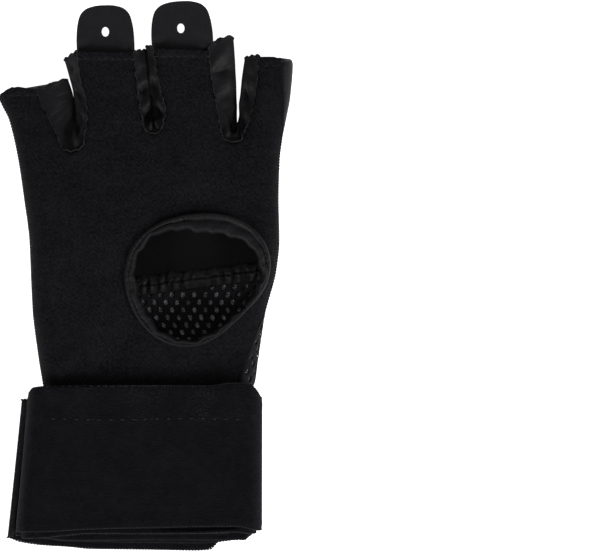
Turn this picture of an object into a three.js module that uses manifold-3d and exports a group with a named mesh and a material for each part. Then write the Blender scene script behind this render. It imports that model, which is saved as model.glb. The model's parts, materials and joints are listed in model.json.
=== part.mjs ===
// A fingerless boxing inner glove, lying flat on its back with the palm up, in millimetres.
// +X points to the thumb side, +Y to the fingers and +Z up, away from the surface it lies on.
import * as THREE from 'three';
import { mergeVertices } from 'three/addons/utils/BufferGeometryUtils.js';
import Module from 'manifold-3d';

// Cloth thicknesses and gaps
const GAP = 0.35;
const PALM_CLOTH = 1.2;
const MESH_CLOTH = 2.2;
const KNUCKLE_CLOTH = 3.0;
const FOURCHETTE_CLOTH = 1.0;
const BINDING_CLOTH = 0.8;
const TAB_SHEET = 1.3;
const BAND_CLOTH = 1.2;

// Hand shell: the wrist end, the rounding of its sides and the crown of each finger
const WRIST_END = -64;
const SIDE_ROUND = 7;
const PALM_FINGER_CROWN = 1.2;
const BACK_FINGER_CROWN = 0.9;

// Outline of the lying glove: its two sides at each distance along the hand
const SIDES = [
  { y: -64.0, little: -37.0, thumb: 36.6 },
  { y: -45.0, little: -37.4, thumb: 37.4 },
  { y: -39.6, little: -37.9, thumb: 39.8 },
  { y: -30.7, little: -39.4, thumb: 40.9 },
  { y: -12.2, little: -41.9, thumb: 43.8 },
  { y: 2.6, little: -42.6, thumb: 46.9 },
  { y: 13.7, little: -43.1, thumb: 48.6 },
  { y: 28.5, little: -45.0, thumb: 48.3 },
  { y: 43.3, little: -47.2, thumb: 48.7 },
  { y: 58.1, little: -50.5, thumb: 51.2 },
  { y: 67.0, little: -54.2, thumb: 52.8 },
  { y: 80.4, little: -54.6, thumb: 53.8 },
];

// Height of the shell's underside and of its top
const HEIGHTS = [
  { y: -64.0, under: 6.05, over: 17.15 },
  { y: -43.5, under: 6.05, over: 17.15 },
  { y: -20.0, under: 0.0, over: 15.6 },
  { y: 20.0, under: 0.0, over: 15.2 },
  { y: 45.0, under: 0.0, over: 13.4 },
  { y: 60.0, under: 0.0, over: 12.2 },
  { y: 89.0, under: 0.0, over: 11.4 },
];

// How far up the thumb side, in degrees of its rounding, the back's cloth wraps towards the palm
const THUMB_EDGE = [
  { y: -45.0, wrap: 70 },
  { y: -38.0, wrap: 66 },
  { y: -24.0, wrap: 46 },
  { y: -6.0, wrap: 0 },
  { y: 42.0, wrap: 0 },
  { y: 62.0, wrap: 44 },
  { y: 81.0, wrap: 74 },
];

// The glove is held flat by the band up to the first of these, and lies freely from the second
const HELD_FLAT_TO = -44;
const FREE_FROM = -37;

// Soft folds and hollows of the palm: centre, heading in degrees, half length, half width, height
const PALM_FOLDS = [
  { x: 17.0, y: 28.0, heading: 4, length: 20, width: 6, height: -1.3 },
  { x: -31.5, y: -33.0, heading: 50, length: 9, width: 2.6, height: 1.0 },
  { x: -24.0, y: -20.0, heading: 52, length: 18, width: 6, height: 0.8 },
  { x: -14.0, y: -31.0, heading: 48, length: 14, width: 4, height: -0.7 },
  { x: 28.0, y: -30.0, heading: 8, length: 15, width: 6, height: -1.1 },
  { x: -25.0, y: 36.0, heading: -70, length: 14, width: 6, height: -0.6 },
  { x: 4.0, y: 42.0, heading: 85, length: 14, width: 6, height: -0.5 },
  { x: -12.0, y: 10.0, heading: 80, length: 40, width: 16, height: 0.8 },
];

// Slots between the fingers: each side from the crotch to the finger top, on the palm and on the back
const SLOTS = [
  {
    name: 'fourchette_pinky_ring',
    palm: {
      left: [[-32.0, 49.6], [-35.6, 57.2], [-39.2, 64.4], [-40.9, 69.4]],
      right: [[-23.1, 50.0], [-22.3, 57.4], [-22.4, 65.0], [-24.8, 74.7], [-25.7, 83.6]],
      dip: 3.2,
    },
    back: {
      left: [[-26.9, 59.9], [-26.9, 64.4], [-28.0, 68.9], [-29.5, 73.3]],
      right: [[-25.6, 59.9], [-26.0, 65.0], [-27.1, 70.4], [-28.6, 75.4], [-30.2, 80.3]],
      dip: 1.2,
    },
    wrinkles: 5,
    wrinkleDepth: 0.55,
  },
  {
    name: 'fourchette_ring_middle',
    palm: {
      left: [[-1.3, 56.6], [-2.8, 64.4], [-3.9, 74.0], [-4.9, 83.3]],
      right: [[5.9, 56.2], [7.1, 61.4], [5.7, 67.3], [3.7, 76.6], [2.6, 84.9]],
      dip: 3.2,
    },
    back: {
      left: [[1.3, 61.1], [0.7, 67.0], [-0.1, 73.5], [-1.0, 83.6]],
      right: [[2.8, 61.1], [2.3, 67.0], [1.5, 73.5], [0.8, 85.4]],
      dip: 1.3,
    },
    wrinkles: 7,
    wrinkleDepth: 0.6,
  },
  {
    name: 'fourchette_middle_index',
    palm: {
      left: [[27.8, 52.5], [25.7, 64.0], [23.9, 74.7], [22.8, 84.0]],
      right: [[35.4, 51.6], [38.6, 60.0], [40.6, 69.0], [41.3, 81.6]],
      dip: 1.9,
    },
    back: {
      left: [[33.1, 58.1], [33.2, 67.3], [32.8, 78.4], [32.2, 88.2]],
      right: [[34.7, 58.1], [34.9, 65.0], [35.5, 73.0], [36.5, 80.8]],
      dip: 1.4,
    },
    wrinkles: 6,
    wrinkleDepth: 0.55,
  },
];

// Where the outer columns of the little finger and forefinger lie: at the crotch row and at the top
const OUTER_ROWS = {
  palm: { crotch: [50.4, 50.4, 52.4, 52.4], top: [67.0, 70.6, 81.6, 80.4] },
  back: { crotch: [58.5, 58.5, 57.0, 57.0], top: [66.6, 70.2, 82.0, 80.4] },
};

// Share of the hand's width at which each slot's columns meet the wrist
const WRIST_SHARES = [0, 0.12, 0.22, 0.47, 0.55, 0.80, 0.89, 1];

// Seam between the smooth knuckle panel and the mesh, and the turned-in seam band inside
const SEAM_Y = -3.8;
const SEAM_SLOPE = 0.115;
const SEAM_BAND = 4.4;
const SEAM_BAND_RISE = 1.0;
const BACK_CROTCH_Y = 58;
const FINGER_PAD_THINNING = 0.5;

// How far the gussets' two edges are set back under the cloth of the slots
const GUSSET_PALM_SETBACK = 0.45;
const GUSSET_BACK_SETBACK = 0.6;

// Thumb hole: its centre and the waves of its two edges round it
const THUMB_HOLE = { x: 18.5, y: -1.1 };
const THUMB_EDGES = [
  { wave: 0, outer: [25.5, 0], inner: [21.3, 0] },
  { wave: 1, outer: [-0.6, 1.2], inner: [-0.5, -0.5] },
  { wave: 2, outer: [0.9, 1.8], inner: [1.6, 0.6] },
  { wave: 3, outer: [0.3, 1.2], inner: [1.0, 1.4] },
];
const THUMB_CUT_SHARE = 0.42;
const THUMB_CUT_STEPS = 56;
const THUMB_CUT_FROM = 8.4;
const THUMB_CUT_DEPTH = 14;
const BINDING_UNDER_SHARE = 0.72;
const BINDING_ROLL = 0.45;
const BINDING_CROWN = 0.25;
const GATHERS = 19;
const GATHER_DEPTH = 0.4;

// Pull tabs: centre and height of the rounded end, turned a little about the vertical
const TABS = [
  { name: 'ring_tab', x: -15.2, y: 99.6, turn: 0, hole: [0.0, -8.6] },
  { name: 'middle_tab', x: 13.2, y: 101.4, turn: 1.6, hole: [-0.7, -9.4] },
];
const TAB_WIDTH = 21.2;
const TAB_ROOT_WIDTH = 13.6;
const TAB_LENGTH = 24.5;
const TAB_SHOULDER = 15.3;
const TAB_HOLE_WIDTH = 2.7;
const TAB_HOLE_HEIGHT = 3.5;
const TAB_TOP = 9.5;

// Wrist band: where it folds, from its inner end to its outer end, as the band's two edges
const BAND_PITCH = BAND_CLOTH + 0.3;
const BAND_BACK_LAYERS = 4;
const BAND_FRONT = 17.5;
const BAND_FOLD_REACH = 5;
const BAND_EDGES = [
  { near: 30.0, far: 30.0, top: -46.0, foot: -95.0 },
  { near: -40.6, far: -44.4, top: -45.5, foot: -95.0 },
  { near: 38.7, far: 38.6, top: -45.0, foot: -94.6 },
  { near: -42.1, far: -45.9, top: -43.8, foot: -96.6 },
  { near: 40.2, far: 40.1, top: -43.0, foot: -94.2 },
  { near: -43.6, far: -47.6, top: -41.0, foot: -93.9 },
  { near: 41.7, far: 41.6, top: -40.4, foot: -92.4 },
  { near: -46.2, far: -51.4, top: -45.7, foot: -96.2 },
];
const BAND_DROOP = [0, 0.3, 0.5, -0.6, 1.2, -1.0, 5.4];

// Mesh fineness: cells in each block across the hand and in each stage along it
const PALM_CELLS = [4, 2, 4, 3, 4, 3, 4, 2, 4];
const BACK_CELLS = [4, 2, 2, 3, 2, 3, 2, 2, 6];
const PALM_ROWS = { hand: 18, finger: 6 };
const BACK_ROWS = { mesh: 11, knuckle: 8, finger: 6 };
const FOURCHETTE_CELLS = 4;
const BINDING_STEPS = 96;
const BAND_FLAT_CELLS = 5;
const BAND_FOLD_CELLS = 3;
const BAND_WIDTH_CELLS = 6;

const NUDGE = 1e-3;
const RIGHT_ANGLE = Math.PI / 2;
const { lerp, smoothstep, clamp } = THREE.MathUtils;

// The smooth value of one column of a table at a distance along the hand, with no overshoot
function along(table, column, y) {
  const last = table.length - 1;
  if (y <= table[0].y) return table[0][column];
  if (y >= table[last].y) return table[last][column];
  const k = table.findIndex((row) => row.y > y) - 1;
  const slope = (n) => (table[n + 1][column] - table[n][column]) / (table[n + 1].y - table[n].y);
  const tangent = (n) => {
    if (n === 0 || n === last) return 0;
    const [before, after] = [slope(n - 1), slope(n)];
    return before * after <= 0 ? 0 : (2 * before * after) / (before + after);
  };
  const step = table[k + 1].y - table[k].y;
  const s = (y - table[k].y) / step;
  const [a, b] = [table[k][column], table[k + 1][column]];
  return a * (1 + 2 * s) * (1 - s) ** 2 + b * s * s * (3 - 2 * s)
    + step * (tangent(k) * s * (1 - s) ** 2 - tangent(k + 1) * s * s * (1 - s));
}

// Height that the palm's soft folds add at a point
function palmFolds(x, y) {
  let height = 0;
  for (const fold of PALM_FOLDS) {
    const turn = THREE.MathUtils.degToRad(fold.heading);
    const [dx, dy] = [x - fold.x, y - fold.y];
    const lengthwise = (dx * Math.cos(turn) + dy * Math.sin(turn)) / fold.length;
    const across = (dy * Math.cos(turn) - dx * Math.sin(turn)) / fold.width;
    height += fold.height * Math.exp(-(lengthwise ** 2 + across ** 2));
  }
  return height;
}

// The folds fade out under the wrist band, where the glove is held flat
function relief(x, y) {
  return palmFolds(x, y) * smoothstep(y, HELD_FLAT_TO, FREE_FROM);
}

// A point on the rounded side, from -90 degrees on the back, through the seam, to 90 on the palm
function sidePoint(thumbSide, y, angle) {
  const edge = along(SIDES, thumbSide ? 'thumb' : 'little', y);
  const inward = SIDE_ROUND * (1 - Math.cos(angle)) * (thumbSide ? -1 : 1);
  const [under, over] = [along(HEIGHTS, 'under', y), along(HEIGHTS, 'over', y)];
  const middle = (under + over) / 2;
  const x = edge + inward;
  const lift = angle > 0 ? relief(x, y) * Math.sin(angle) ** 2 : 0;
  return new THREE.Vector3(x, y, middle + (over - middle) * Math.sin(angle) + lift);
}

// Height of the palm's face over a point of the plan
function palmHeight(x, y) {
  const inward = Math.min(x - along(SIDES, 'little', y), along(SIDES, 'thumb', y) - x);
  if (inward >= SIDE_ROUND) return along(HEIGHTS, 'over', y) + relief(x, y);
  const angle = Math.acos(clamp(1 - inward / SIDE_ROUND, 0, 1));
  const [under, over] = [along(HEIGHTS, 'under', y), along(HEIGHTS, 'over', y)];
  return lerp((under + over) / 2, over, Math.sin(angle)) + relief(x, y) * Math.sin(angle) ** 2;
}

// Angle up the thumb side at which the palm's cloth meets the back's
function seamAngle(y) {
  return THREE.MathUtils.degToRad(along(THUMB_EDGE, 'wrap', y));
}

// One face of the glove, palm or back, laid out in ten numbered columns: 0 and 9 are the sides,
// 1 and 8 the ends of their rounding, and 2 to 7 the two sides of each slot
class Face {
  constructor(kind, stages) {
    this.kind = kind;
    this.stages = stages;
    this.crotch = stages.length;
    this.outer = OUTER_ROWS[kind];
    this.slotSides = SLOTS.flatMap((slot) => [slot[kind].left, slot[kind].right])
      .map((points) => new THREE.SplineCurve(points.map(([x, y]) => new THREE.Vector2(x, y))));
  }

  // A numbered column's place in the plan, from the crotch row at 0 to the finger top at 1
  column(number, share) {
    if (number >= 2 && number <= 7) return this.slotSides[number - 2].getPoint(share);
    const n = number < 2 ? number : number - 6;
    const y = lerp(this.outer.crotch[n], this.outer.top[n], share);
    const inward = number === 1 || number === 8 ? SIDE_ROUND : 0;
    const x = number < 2
      ? along(SIDES, 'little', y) + inward
      : along(SIDES, 'thumb', y) - inward;
    return new THREE.Vector2(x, y);
  }

  // A place in the plan for any column at or above the crotch row, with the slot's round bottom
  fingerPlan(c, share) {
    const left = Math.min(Math.floor(c), 8);
    const s = c - left;
    const spot = this.column(left, share).lerp(this.column(left + 1, share), s);
    const isSlot = left === 2 || left === 4 || left === 6;
    if (isSlot) spot.y -= SLOTS[left / 2 - 1][this.kind].dip * Math.sqrt(4 * s * (1 - s));
    return spot;
  }

  // The place in the plan of column c at stage t
  plan(c, t) {
    if (t >= this.crotch) return this.fingerPlan(c, t - this.crotch);
    const top = this.fingerPlan(c, 0);
    const left = clamp(Math.floor(c), 1, 7);
    const wristShare = clamp(lerp(WRIST_SHARES[left - 1], WRIST_SHARES[left], c - left), 0, 1);
    const stage = Math.floor(t);
    const rowY = (n) => (n === this.crotch ? top.y : this.stages[n](wristShare));
    const y = lerp(rowY(stage), rowY(stage + 1), t - stage);
    const flat = (x, atY) => {
      const start = along(SIDES, 'little', atY) + SIDE_ROUND;
      return (x - start) / (along(SIDES, 'thumb', atY) - SIDE_ROUND - start);
    };
    const mix = clamp(t - this.crotch + 1, 0, 1);
    const share = lerp(wristShare, flat(top.x, top.y), mix);
    const start = along(SIDES, 'little', y) + SIDE_ROUND;
    const x = lerp(start, along(SIDES, 'thumb', y) - SIDE_ROUND, share);
    return new THREE.Vector2(x, y);
  }

  // How much a finger's edge drops away from its crown
  crown(c, t) {
    const left = Math.floor(clamp(c, 1, 8 - NUDGE));
    const s = c - left;
    const isMiddleFinger = left === 3 || left === 5;
    const toEdge = isMiddleFinger ? Math.abs(2 * s - 1) : left === 1 ? s : 1 - s;
    const isSlot = left === 2 || left === 4 || left === 6;
    return (isSlot ? 1 : toEdge ** 4) * smoothstep(t, this.crotch - 0.08, this.crotch + 0.5);
  }

  // A point on the outer face of the cloth
  point(c, t) {
    const isPalm = this.kind === 'palm';
    if (c < 1) {
      const angle = c * RIGHT_ANGLE;
      return sidePoint(false, this.plan(c, t).y, isPalm ? angle : -angle);
    }
    if (c > 8) {
      const s = Math.min(c - 8, 1);
      const y = this.plan(8 + s, t).y;
      const seam = seamAngle(y);
      return isPalm
        ? sidePoint(true, y, lerp(RIGHT_ANGLE, seam, s))
        : sidePoint(true, y, lerp(-RIGHT_ANGLE, seam, s));
    }
    const { x, y } = this.plan(c, t);
    const z = isPalm
      ? palmHeight(x, y) - PALM_FINGER_CROWN * this.crown(c, t)
      : along(HEIGHTS, 'under', y) + BACK_FINGER_CROWN * this.crown(c, t);
    return new THREE.Vector3(x, y, z);
  }

  // The direction into the glove, square to the cloth
  inward(c, t) {
    const left = Math.floor(clamp(c, 0, 9 - NUDGE));
    const onColumn = Math.abs(c - Math.round(c)) < NUDGE;
    const isSlotEnd = onColumn && [3, 5, 7].includes(Math.round(c));
    const acrossStep = c < left + 0.5 && (!onColumn || isSlotEnd || c < 1) ? NUDGE : -NUDGE;
    const alongStep = t < this.crotch + 0.5 ? NUDGE : -NUDGE;
    const here = this.point(c, t);
    const across = this.point(c + acrossStep, t).sub(here).multiplyScalar(Math.sign(acrossStep));
    const lengthwise = this.point(c, t + alongStep).sub(here).multiplyScalar(Math.sign(alongStep));
    const normal = across.cross(lengthwise).normalize();
    return this.kind === 'palm' ? normal.negate() : normal;
  }
}

const wristRow = () => WRIST_END;
const seamRow = (share) => SEAM_Y + SEAM_SLOPE * lerp(-44, 47, share);
const palmFace = new Face('palm', [wristRow]);
const backFace = new Face('back', [wristRow, seamRow]);

// A closed solid from a grid of paired points, face and lining, with some cells cut out
function sheetSolid(columns, rows, pairAt, isCut = () => false) {
  const numbers = new Map();
  const positions = [];
  const triangles = [];
  const vertex = (i, j, isLining) => {
    const key = `${i},${j},${isLining}`;
    if (!numbers.has(key)) {
      numbers.set(key, positions.length / 3);
      const pair = pairAt(i, j);
      positions.push(...(isLining ? pair.lining : pair.face).toArray());
    }
    return numbers.get(key);
  };
  const quad = (a, b, c, d) => triangles.push(a, b, c, a, c, d);
  const isEmpty = (i, j) => i < 0 || j < 0 || i >= columns || j >= rows || isCut(i, j);
  for (let j = 0; j < rows; j += 1) {
    for (let i = 0; i < columns; i += 1) {
      if (isCut(i, j)) continue;
      const corners = [[i, j], [i + 1, j], [i + 1, j + 1], [i, j + 1]];
      const face = corners.map(([a, b]) => vertex(a, b, false));
      const lining = corners.map(([a, b]) => vertex(a, b, true));
      quad(...face);
      quad(...lining.slice().reverse());
      const neighbours = [[i, j - 1], [i + 1, j], [i, j + 1], [i - 1, j]];
      neighbours.forEach(([a, b], k) => {
        const next = (k + 1) % 4;
        if (isEmpty(a, b)) quad(face[next], face[k], lining[k], lining[next]);
      });
    }
  }
  const geometry = new THREE.BufferGeometry();
  geometry.setAttribute('position', new THREE.Float32BufferAttribute(positions, 3));
  geometry.setIndex(triangles);
  return facingOut(geometry);
}

// Turns every triangle round if the solid is inside out
function facingOut(geometry) {
  const position = geometry.getAttribute('position');
  const index = geometry.getIndex();
  const corner = (n) => new THREE.Vector3().fromBufferAttribute(position, index.getX(n));
  let volume = 0;
  for (let n = 0; n < index.count; n += 3) {
    volume += corner(n).dot(corner(n + 1).cross(corner(n + 2)));
  }
  if (volume < 0) {
    for (let n = 0; n < index.count; n += 3) {
      const second = index.getX(n + 1);
      index.setX(n + 1, index.getX(n + 2));
      index.setX(n + 2, second);
    }
  }
  return geometry;
}

// Column and stage values for a grid, with the number of cells in each block or stage
function columnValues(cells) {
  const values = cells.flatMap((count, block) => (
    Array.from({ length: count }, (_, n) => block + n / count)
  ));
  return [...values, cells.length];
}

function stageValues(from, counts) {
  const values = counts.flatMap((count, stage) => (
    Array.from({ length: count }, (_, n) => from + stage + n / count)
  ));
  return [...values, from + counts.length];
}

// One panel of the hand: a face's cloth between two stages, trimmed by small gaps at its seams
function panel(face, columns, stages, thicknessAt, endTrim = 0) {
  const sideTrim = GAP / 2 / (SIDE_ROUND * RIGHT_ANGLE);
  const columnAt = (i) => clamp(columns[i], sideTrim, 9 - sideTrim);
  const stageAt = (j) => (j === stages.length - 1 ? stages[j] - endTrim : stages[j]);
  const pairAt = (i, j) => {
    const [c, t] = [columnAt(i), stageAt(j)];
    const outer = face.point(c, t);
    const lining = outer.clone().addScaledVector(face.inward(c, t), thicknessAt(c, t));
    return { face: outer, lining };
  };
  const isCut = (i, j) => {
    const block = Math.floor((columns[i] + columns[i + 1]) / 2);
    return (block === 2 || block === 4 || block === 6) && stages[j] >= face.crotch;
  };
  return sheetSolid(columns.length - 1, stages.length - 1, pairAt, isCut);
}

// A geometry as a solid that can be cut, and a cut solid as a geometry again
const wasm = await Module();
wasm.setup();

function toSolid(geometry) {
  const bare = geometry.clone();
  bare.deleteAttribute('normal');
  bare.deleteAttribute('uv');
  const merged = mergeVertices(bare, 1e-5);
  return new wasm.Manifold(new wasm.Mesh({
    numProp: 3,
    vertProperties: new Float32Array(merged.getAttribute('position').array),
    triVerts: new Uint32Array(merged.getIndex().array),
  }));
}

function toGeometry(solid) {
  const mesh = solid.getMesh();
  const geometry = new THREE.BufferGeometry();
  geometry.setAttribute('position', new THREE.BufferAttribute(mesh.vertProperties, 3));
  geometry.setIndex(new THREE.BufferAttribute(mesh.triVerts, 1));
  return geometry;
}

// Distance from the thumb hole's centre to one of its edges
function thumbRadius(edge, turn) {
  return THUMB_EDGES.reduce((sum, { wave, [edge]: [cosine, sine] }) => (
    sum + cosine * Math.cos(wave * turn) + sine * Math.sin(wave * turn)
  ), 0);
}

const thumbCutRadius = (turn) => (
  lerp(thumbRadius('inner', turn), thumbRadius('outer', turn), THUMB_CUT_SHARE)
);

// The matte knit palm with the four finger fronts, cut by the thumb hole
function palmPanel() {
  const columns = columnValues(PALM_CELLS);
  const stages = stageValues(0, [PALM_ROWS.hand, PALM_ROWS.finger]);
  const cloth = panel(palmFace, columns, stages, () => PALM_CLOTH);
  const outline = Array.from({ length: THUMB_CUT_STEPS }, (_, n) => {
    const turn = (n / THUMB_CUT_STEPS) * Math.PI * 2;
    const radius = thumbCutRadius(turn);
    return new THREE.Vector2(
      THUMB_HOLE.x + radius * Math.cos(turn),
      THUMB_HOLE.y + radius * Math.sin(turn),
    );
  });
  const cutter = new THREE.ExtrudeGeometry(new THREE.Shape(outline), {
    depth: THUMB_CUT_DEPTH,
    bevelEnabled: false,
  });
  cutter.translate(0, 0, THUMB_CUT_FROM);
  return toGeometry(toSolid(cloth).subtract(toSolid(cutter)));
}

// The air-mesh back of the hand, from the wrist to the knuckle panel's seam
function backMeshPanel() {
  const stages = stageValues(0, [BACK_ROWS.mesh]);
  const endTrim = GAP / (SEAM_Y - WRIST_END);
  return panel(backFace, columnValues(BACK_CELLS), stages, () => MESH_CLOTH, endTrim);
}

// The padded upper back with the finger backs, thicker at the seam band inside
function knucklePanel() {
  const seamDepth = SEAM_BAND / (BACK_CROTCH_Y - SEAM_Y);
  const stages = [1, 1 + seamDepth, 1 + 1.5 * seamDepth, ...stageValues(1, [
    BACK_ROWS.knuckle, BACK_ROWS.finger,
  ]).slice(2)];
  const thicknessAt = (c, t) => {
    const sides = clamp(Math.min(c, 9 - c), 0, 1);
    const fingers = smoothstep(t, backFace.crotch, backFace.crotch + 1);
    const pad = lerp(MESH_CLOTH, KNUCKLE_CLOTH, sides) - FINGER_PAD_THINNING * fingers;
    return pad + SEAM_BAND_RISE * sides * (1 - smoothstep(t, 1 + seamDepth, 1 + 1.5 * seamDepth));
  };
  return panel(backFace, columnValues(BACK_CELLS), stages, thicknessAt);
}

// A slot's edge in the plan, from its left finger top round the crotch to the right one
function slotEdge(face, slotNumber) {
  const left = 2 + 2 * slotNumber;
  const rows = face.kind === 'palm' ? PALM_ROWS.finger : BACK_ROWS.finger;
  const sideSteps = Array.from({ length: rows }, (_, n) => 1 - n / rows);
  const turnSteps = PALM_CELLS[left];
  const turn = Array.from({ length: turnSteps + 1 }, (_, n) => left + n / turnSteps);
  return [
    ...sideSteps.map((share) => [left, face.crotch + share]),
    ...turn.map((c) => [c, face.crotch]),
    ...sideSteps.reverse().map((share) => [left + 1, face.crotch + share]),
  ];
}

// A slot's edge line for the gusset: set back under the cloth and clear of it
function gussetLine(face, slotNumber, cloth, setBack) {
  const spots = slotEdge(face, slotNumber).map(([c, t]) => face.point(c, t));
  const depth = cloth + GAP + FOURCHETTE_CLOTH / 2;
  return spots.map((spot, n) => {
    const before = spots[Math.max(n - 1, 0)];
    const after = spots[Math.min(n + 1, spots.length - 1)];
    const heading = after.clone().sub(before).setZ(0).normalize();
    const line = spot.clone();
    line.x += heading.y * setBack;
    line.y -= heading.x * setBack;
    line.z += face.kind === 'palm' ? -depth : depth;
    return line;
  });
}

// A smooth gusset: a U-shaped strip from the palm's slot edge down to the back's, in soft wrinkles
function fourchette(slotNumber) {
  const slot = SLOTS[slotNumber];
  const upper = gussetLine(palmFace, slotNumber, PALM_CLOTH, GUSSET_PALM_SETBACK);
  const lower = gussetLine(backFace, slotNumber, KNUCKLE_CLOTH, GUSSET_BACK_SETBACK);
  const last = upper.length - 1;
  const middle = (i, q) => {
    const point = upper[i].clone().lerp(lower[i], q);
    const share = i / last;
    const across = lower[i].clone().sub(upper[i]);
    const lengthwise = upper[Math.min(i + 1, last)].clone().sub(upper[Math.max(i - 1, 0)]);
    const square = lengthwise.cross(across).normalize();
    const wave = Math.sin(share * slot.wrinkles * Math.PI * 2 + q * 2.2)
      + 0.5 * Math.sin(share * slot.wrinkles * Math.PI * 3.3 + 1 + q * 4);
    const held = Math.sin(q * Math.PI) * smoothstep(Math.min(share, 1 - share), 0, 0.08);
    return point.addScaledVector(square, slot.wrinkleDepth * wave * held);
  };
  const grid = upper.map((_, i) => (
    Array.from({ length: FOURCHETTE_CELLS + 1 }, (__, j) => middle(i, j / FOURCHETTE_CELLS))
  ));
  const pairAt = (i, j) => {
    const column = grid[Math.min(i + 1, last)][j].clone().sub(grid[Math.max(i - 1, 0)][j]);
    const rung = grid[i][Math.min(j + 1, FOURCHETTE_CELLS)].clone().sub(grid[i][Math.max(j - 1, 0)]);
    const square = column.cross(rung).normalize();
    return {
      face: grid[i][j].clone().addScaledVector(square, FOURCHETTE_CLOTH / 2),
      lining: grid[i][j].clone().addScaledVector(square, -FOURCHETTE_CLOTH / 2),
    };
  };
  return sheetSolid(last, FOURCHETTE_CELLS, pairAt);
}

// The binding's section round the palm's cut edge: distance along the cloth and height over it
function bindingSection(inner, cut, outer) {
  const reach = GAP + BINDING_CLOTH;
  const under = -PALM_CLOTH;
  const leaf = lerp(cut, outer, BINDING_UNDER_SHARE);
  return [
    [outer, GAP], [outer - BINDING_ROLL, reach], [lerp(inner, outer, 0.5), reach + BINDING_CROWN],
    [inner + BINDING_ROLL, reach - BINDING_CROWN], [inner, under / 2],
    [inner + BINDING_ROLL, under - reach + BINDING_CROWN],
    [leaf, under - reach], [leaf, under - GAP],
    [cut - GAP, under - GAP], [cut - GAP, GAP],
  ];
}

// The thumb hole's gathered binding tape
function thumbBinding() {
  const slopeAt = (x, y) => {
    const rise = (palmHeight(x + NUDGE, y) - palmHeight(x - NUDGE, y)) / (2 * NUDGE);
    const run = (palmHeight(x, y + NUDGE) - palmHeight(x, y - NUDGE)) / (2 * NUDGE);
    return new THREE.Vector3(-rise, -run, 1).normalize();
  };
  const sections = Array.from({ length: BINDING_STEPS }, (_, n) => {
    const turn = (n / BINDING_STEPS) * Math.PI * 2;
    const gather = Math.sin(turn * GATHERS) + 0.6 * Math.sin(turn * (GATHERS - 8) + 1);
    const inner = thumbRadius('inner', turn) + GATHER_DEPTH * gather;
    const section = bindingSection(inner, thumbCutRadius(turn), thumbRadius('outer', turn));
    return section.map(([radius, height]) => {
      const x = THUMB_HOLE.x + radius * Math.cos(turn);
      const y = THUMB_HOLE.y + radius * Math.sin(turn);
      return new THREE.Vector3(x, y, palmHeight(x, y)).addScaledVector(slopeAt(x, y), height);
    });
  });
  const size = sections[0].length;
  const triangles = [];
  for (let n = 0; n < BINDING_STEPS; n += 1) {
    for (let k = 0; k < size; k += 1) {
      const [here, next] = [n * size, ((n + 1) % BINDING_STEPS) * size];
      const after = (k + 1) % size;
      triangles.push(here + k, next + k, next + after, here + k, next + after, here + after);
    }
  }
  const geometry = new THREE.BufferGeometry().setFromPoints(sections.flat());
  geometry.setIndex(triangles);
  return facingOut(geometry);
}

// A pull tab: a smooth flat tongue with a round end, a small oval hole and a narrower root
function tab({ x, y, turn, hole }) {
  const [half, root] = [TAB_WIDTH / 2, TAB_ROOT_WIDTH / 2];
  const outline = new THREE.Shape();
  outline.moveTo(-root, -TAB_LENGTH);
  outline.lineTo(root, -TAB_LENGTH);
  outline.lineTo(root, -TAB_SHOULDER);
  outline.lineTo(half, -TAB_SHOULDER);
  outline.lineTo(half - 0.5, -9);
  outline.bezierCurveTo(half - 0.8, -2.4, half - 5, 0, 0, 0);
  outline.bezierCurveTo(5 - half, 0, 0.8 - half, -2.4, 0.5 - half, -9);
  outline.lineTo(-half, -TAB_SHOULDER);
  outline.lineTo(-root, -TAB_SHOULDER);
  outline.closePath();
  const opening = new THREE.Path();
  opening.absellipse(hole[0], hole[1], TAB_HOLE_WIDTH / 2, TAB_HOLE_HEIGHT / 2, 0, Math.PI * 2);
  outline.holes.push(opening);
  const edge = 0.3;
  const geometry = new THREE.ExtrudeGeometry(outline, {
    depth: TAB_SHEET - 2 * edge,
    bevelThickness: edge,
    bevelSize: edge,
    bevelOffset: -edge,
    bevelSegments: 1,
    curveSegments: 9,
  });
  geometry.rotateZ(THREE.MathUtils.degToRad(turn));
  geometry.translate(x, y, TAB_TOP - TAB_SHEET + edge);
  return toGeometry(toSolid(geometry));
}

// Height of the middle of one pass of the wrist band: even passes run under the hand, odd over it
function passHeight(pass) {
  const turn = Math.floor(pass / 2);
  const layer = pass % 2 === 0 ? BAND_BACK_LAYERS - 1 - turn : turn;
  return (pass % 2 === 0 ? 0 : BAND_FRONT) + layer * BAND_PITCH + BAND_CLOTH / 2;
}

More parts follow.
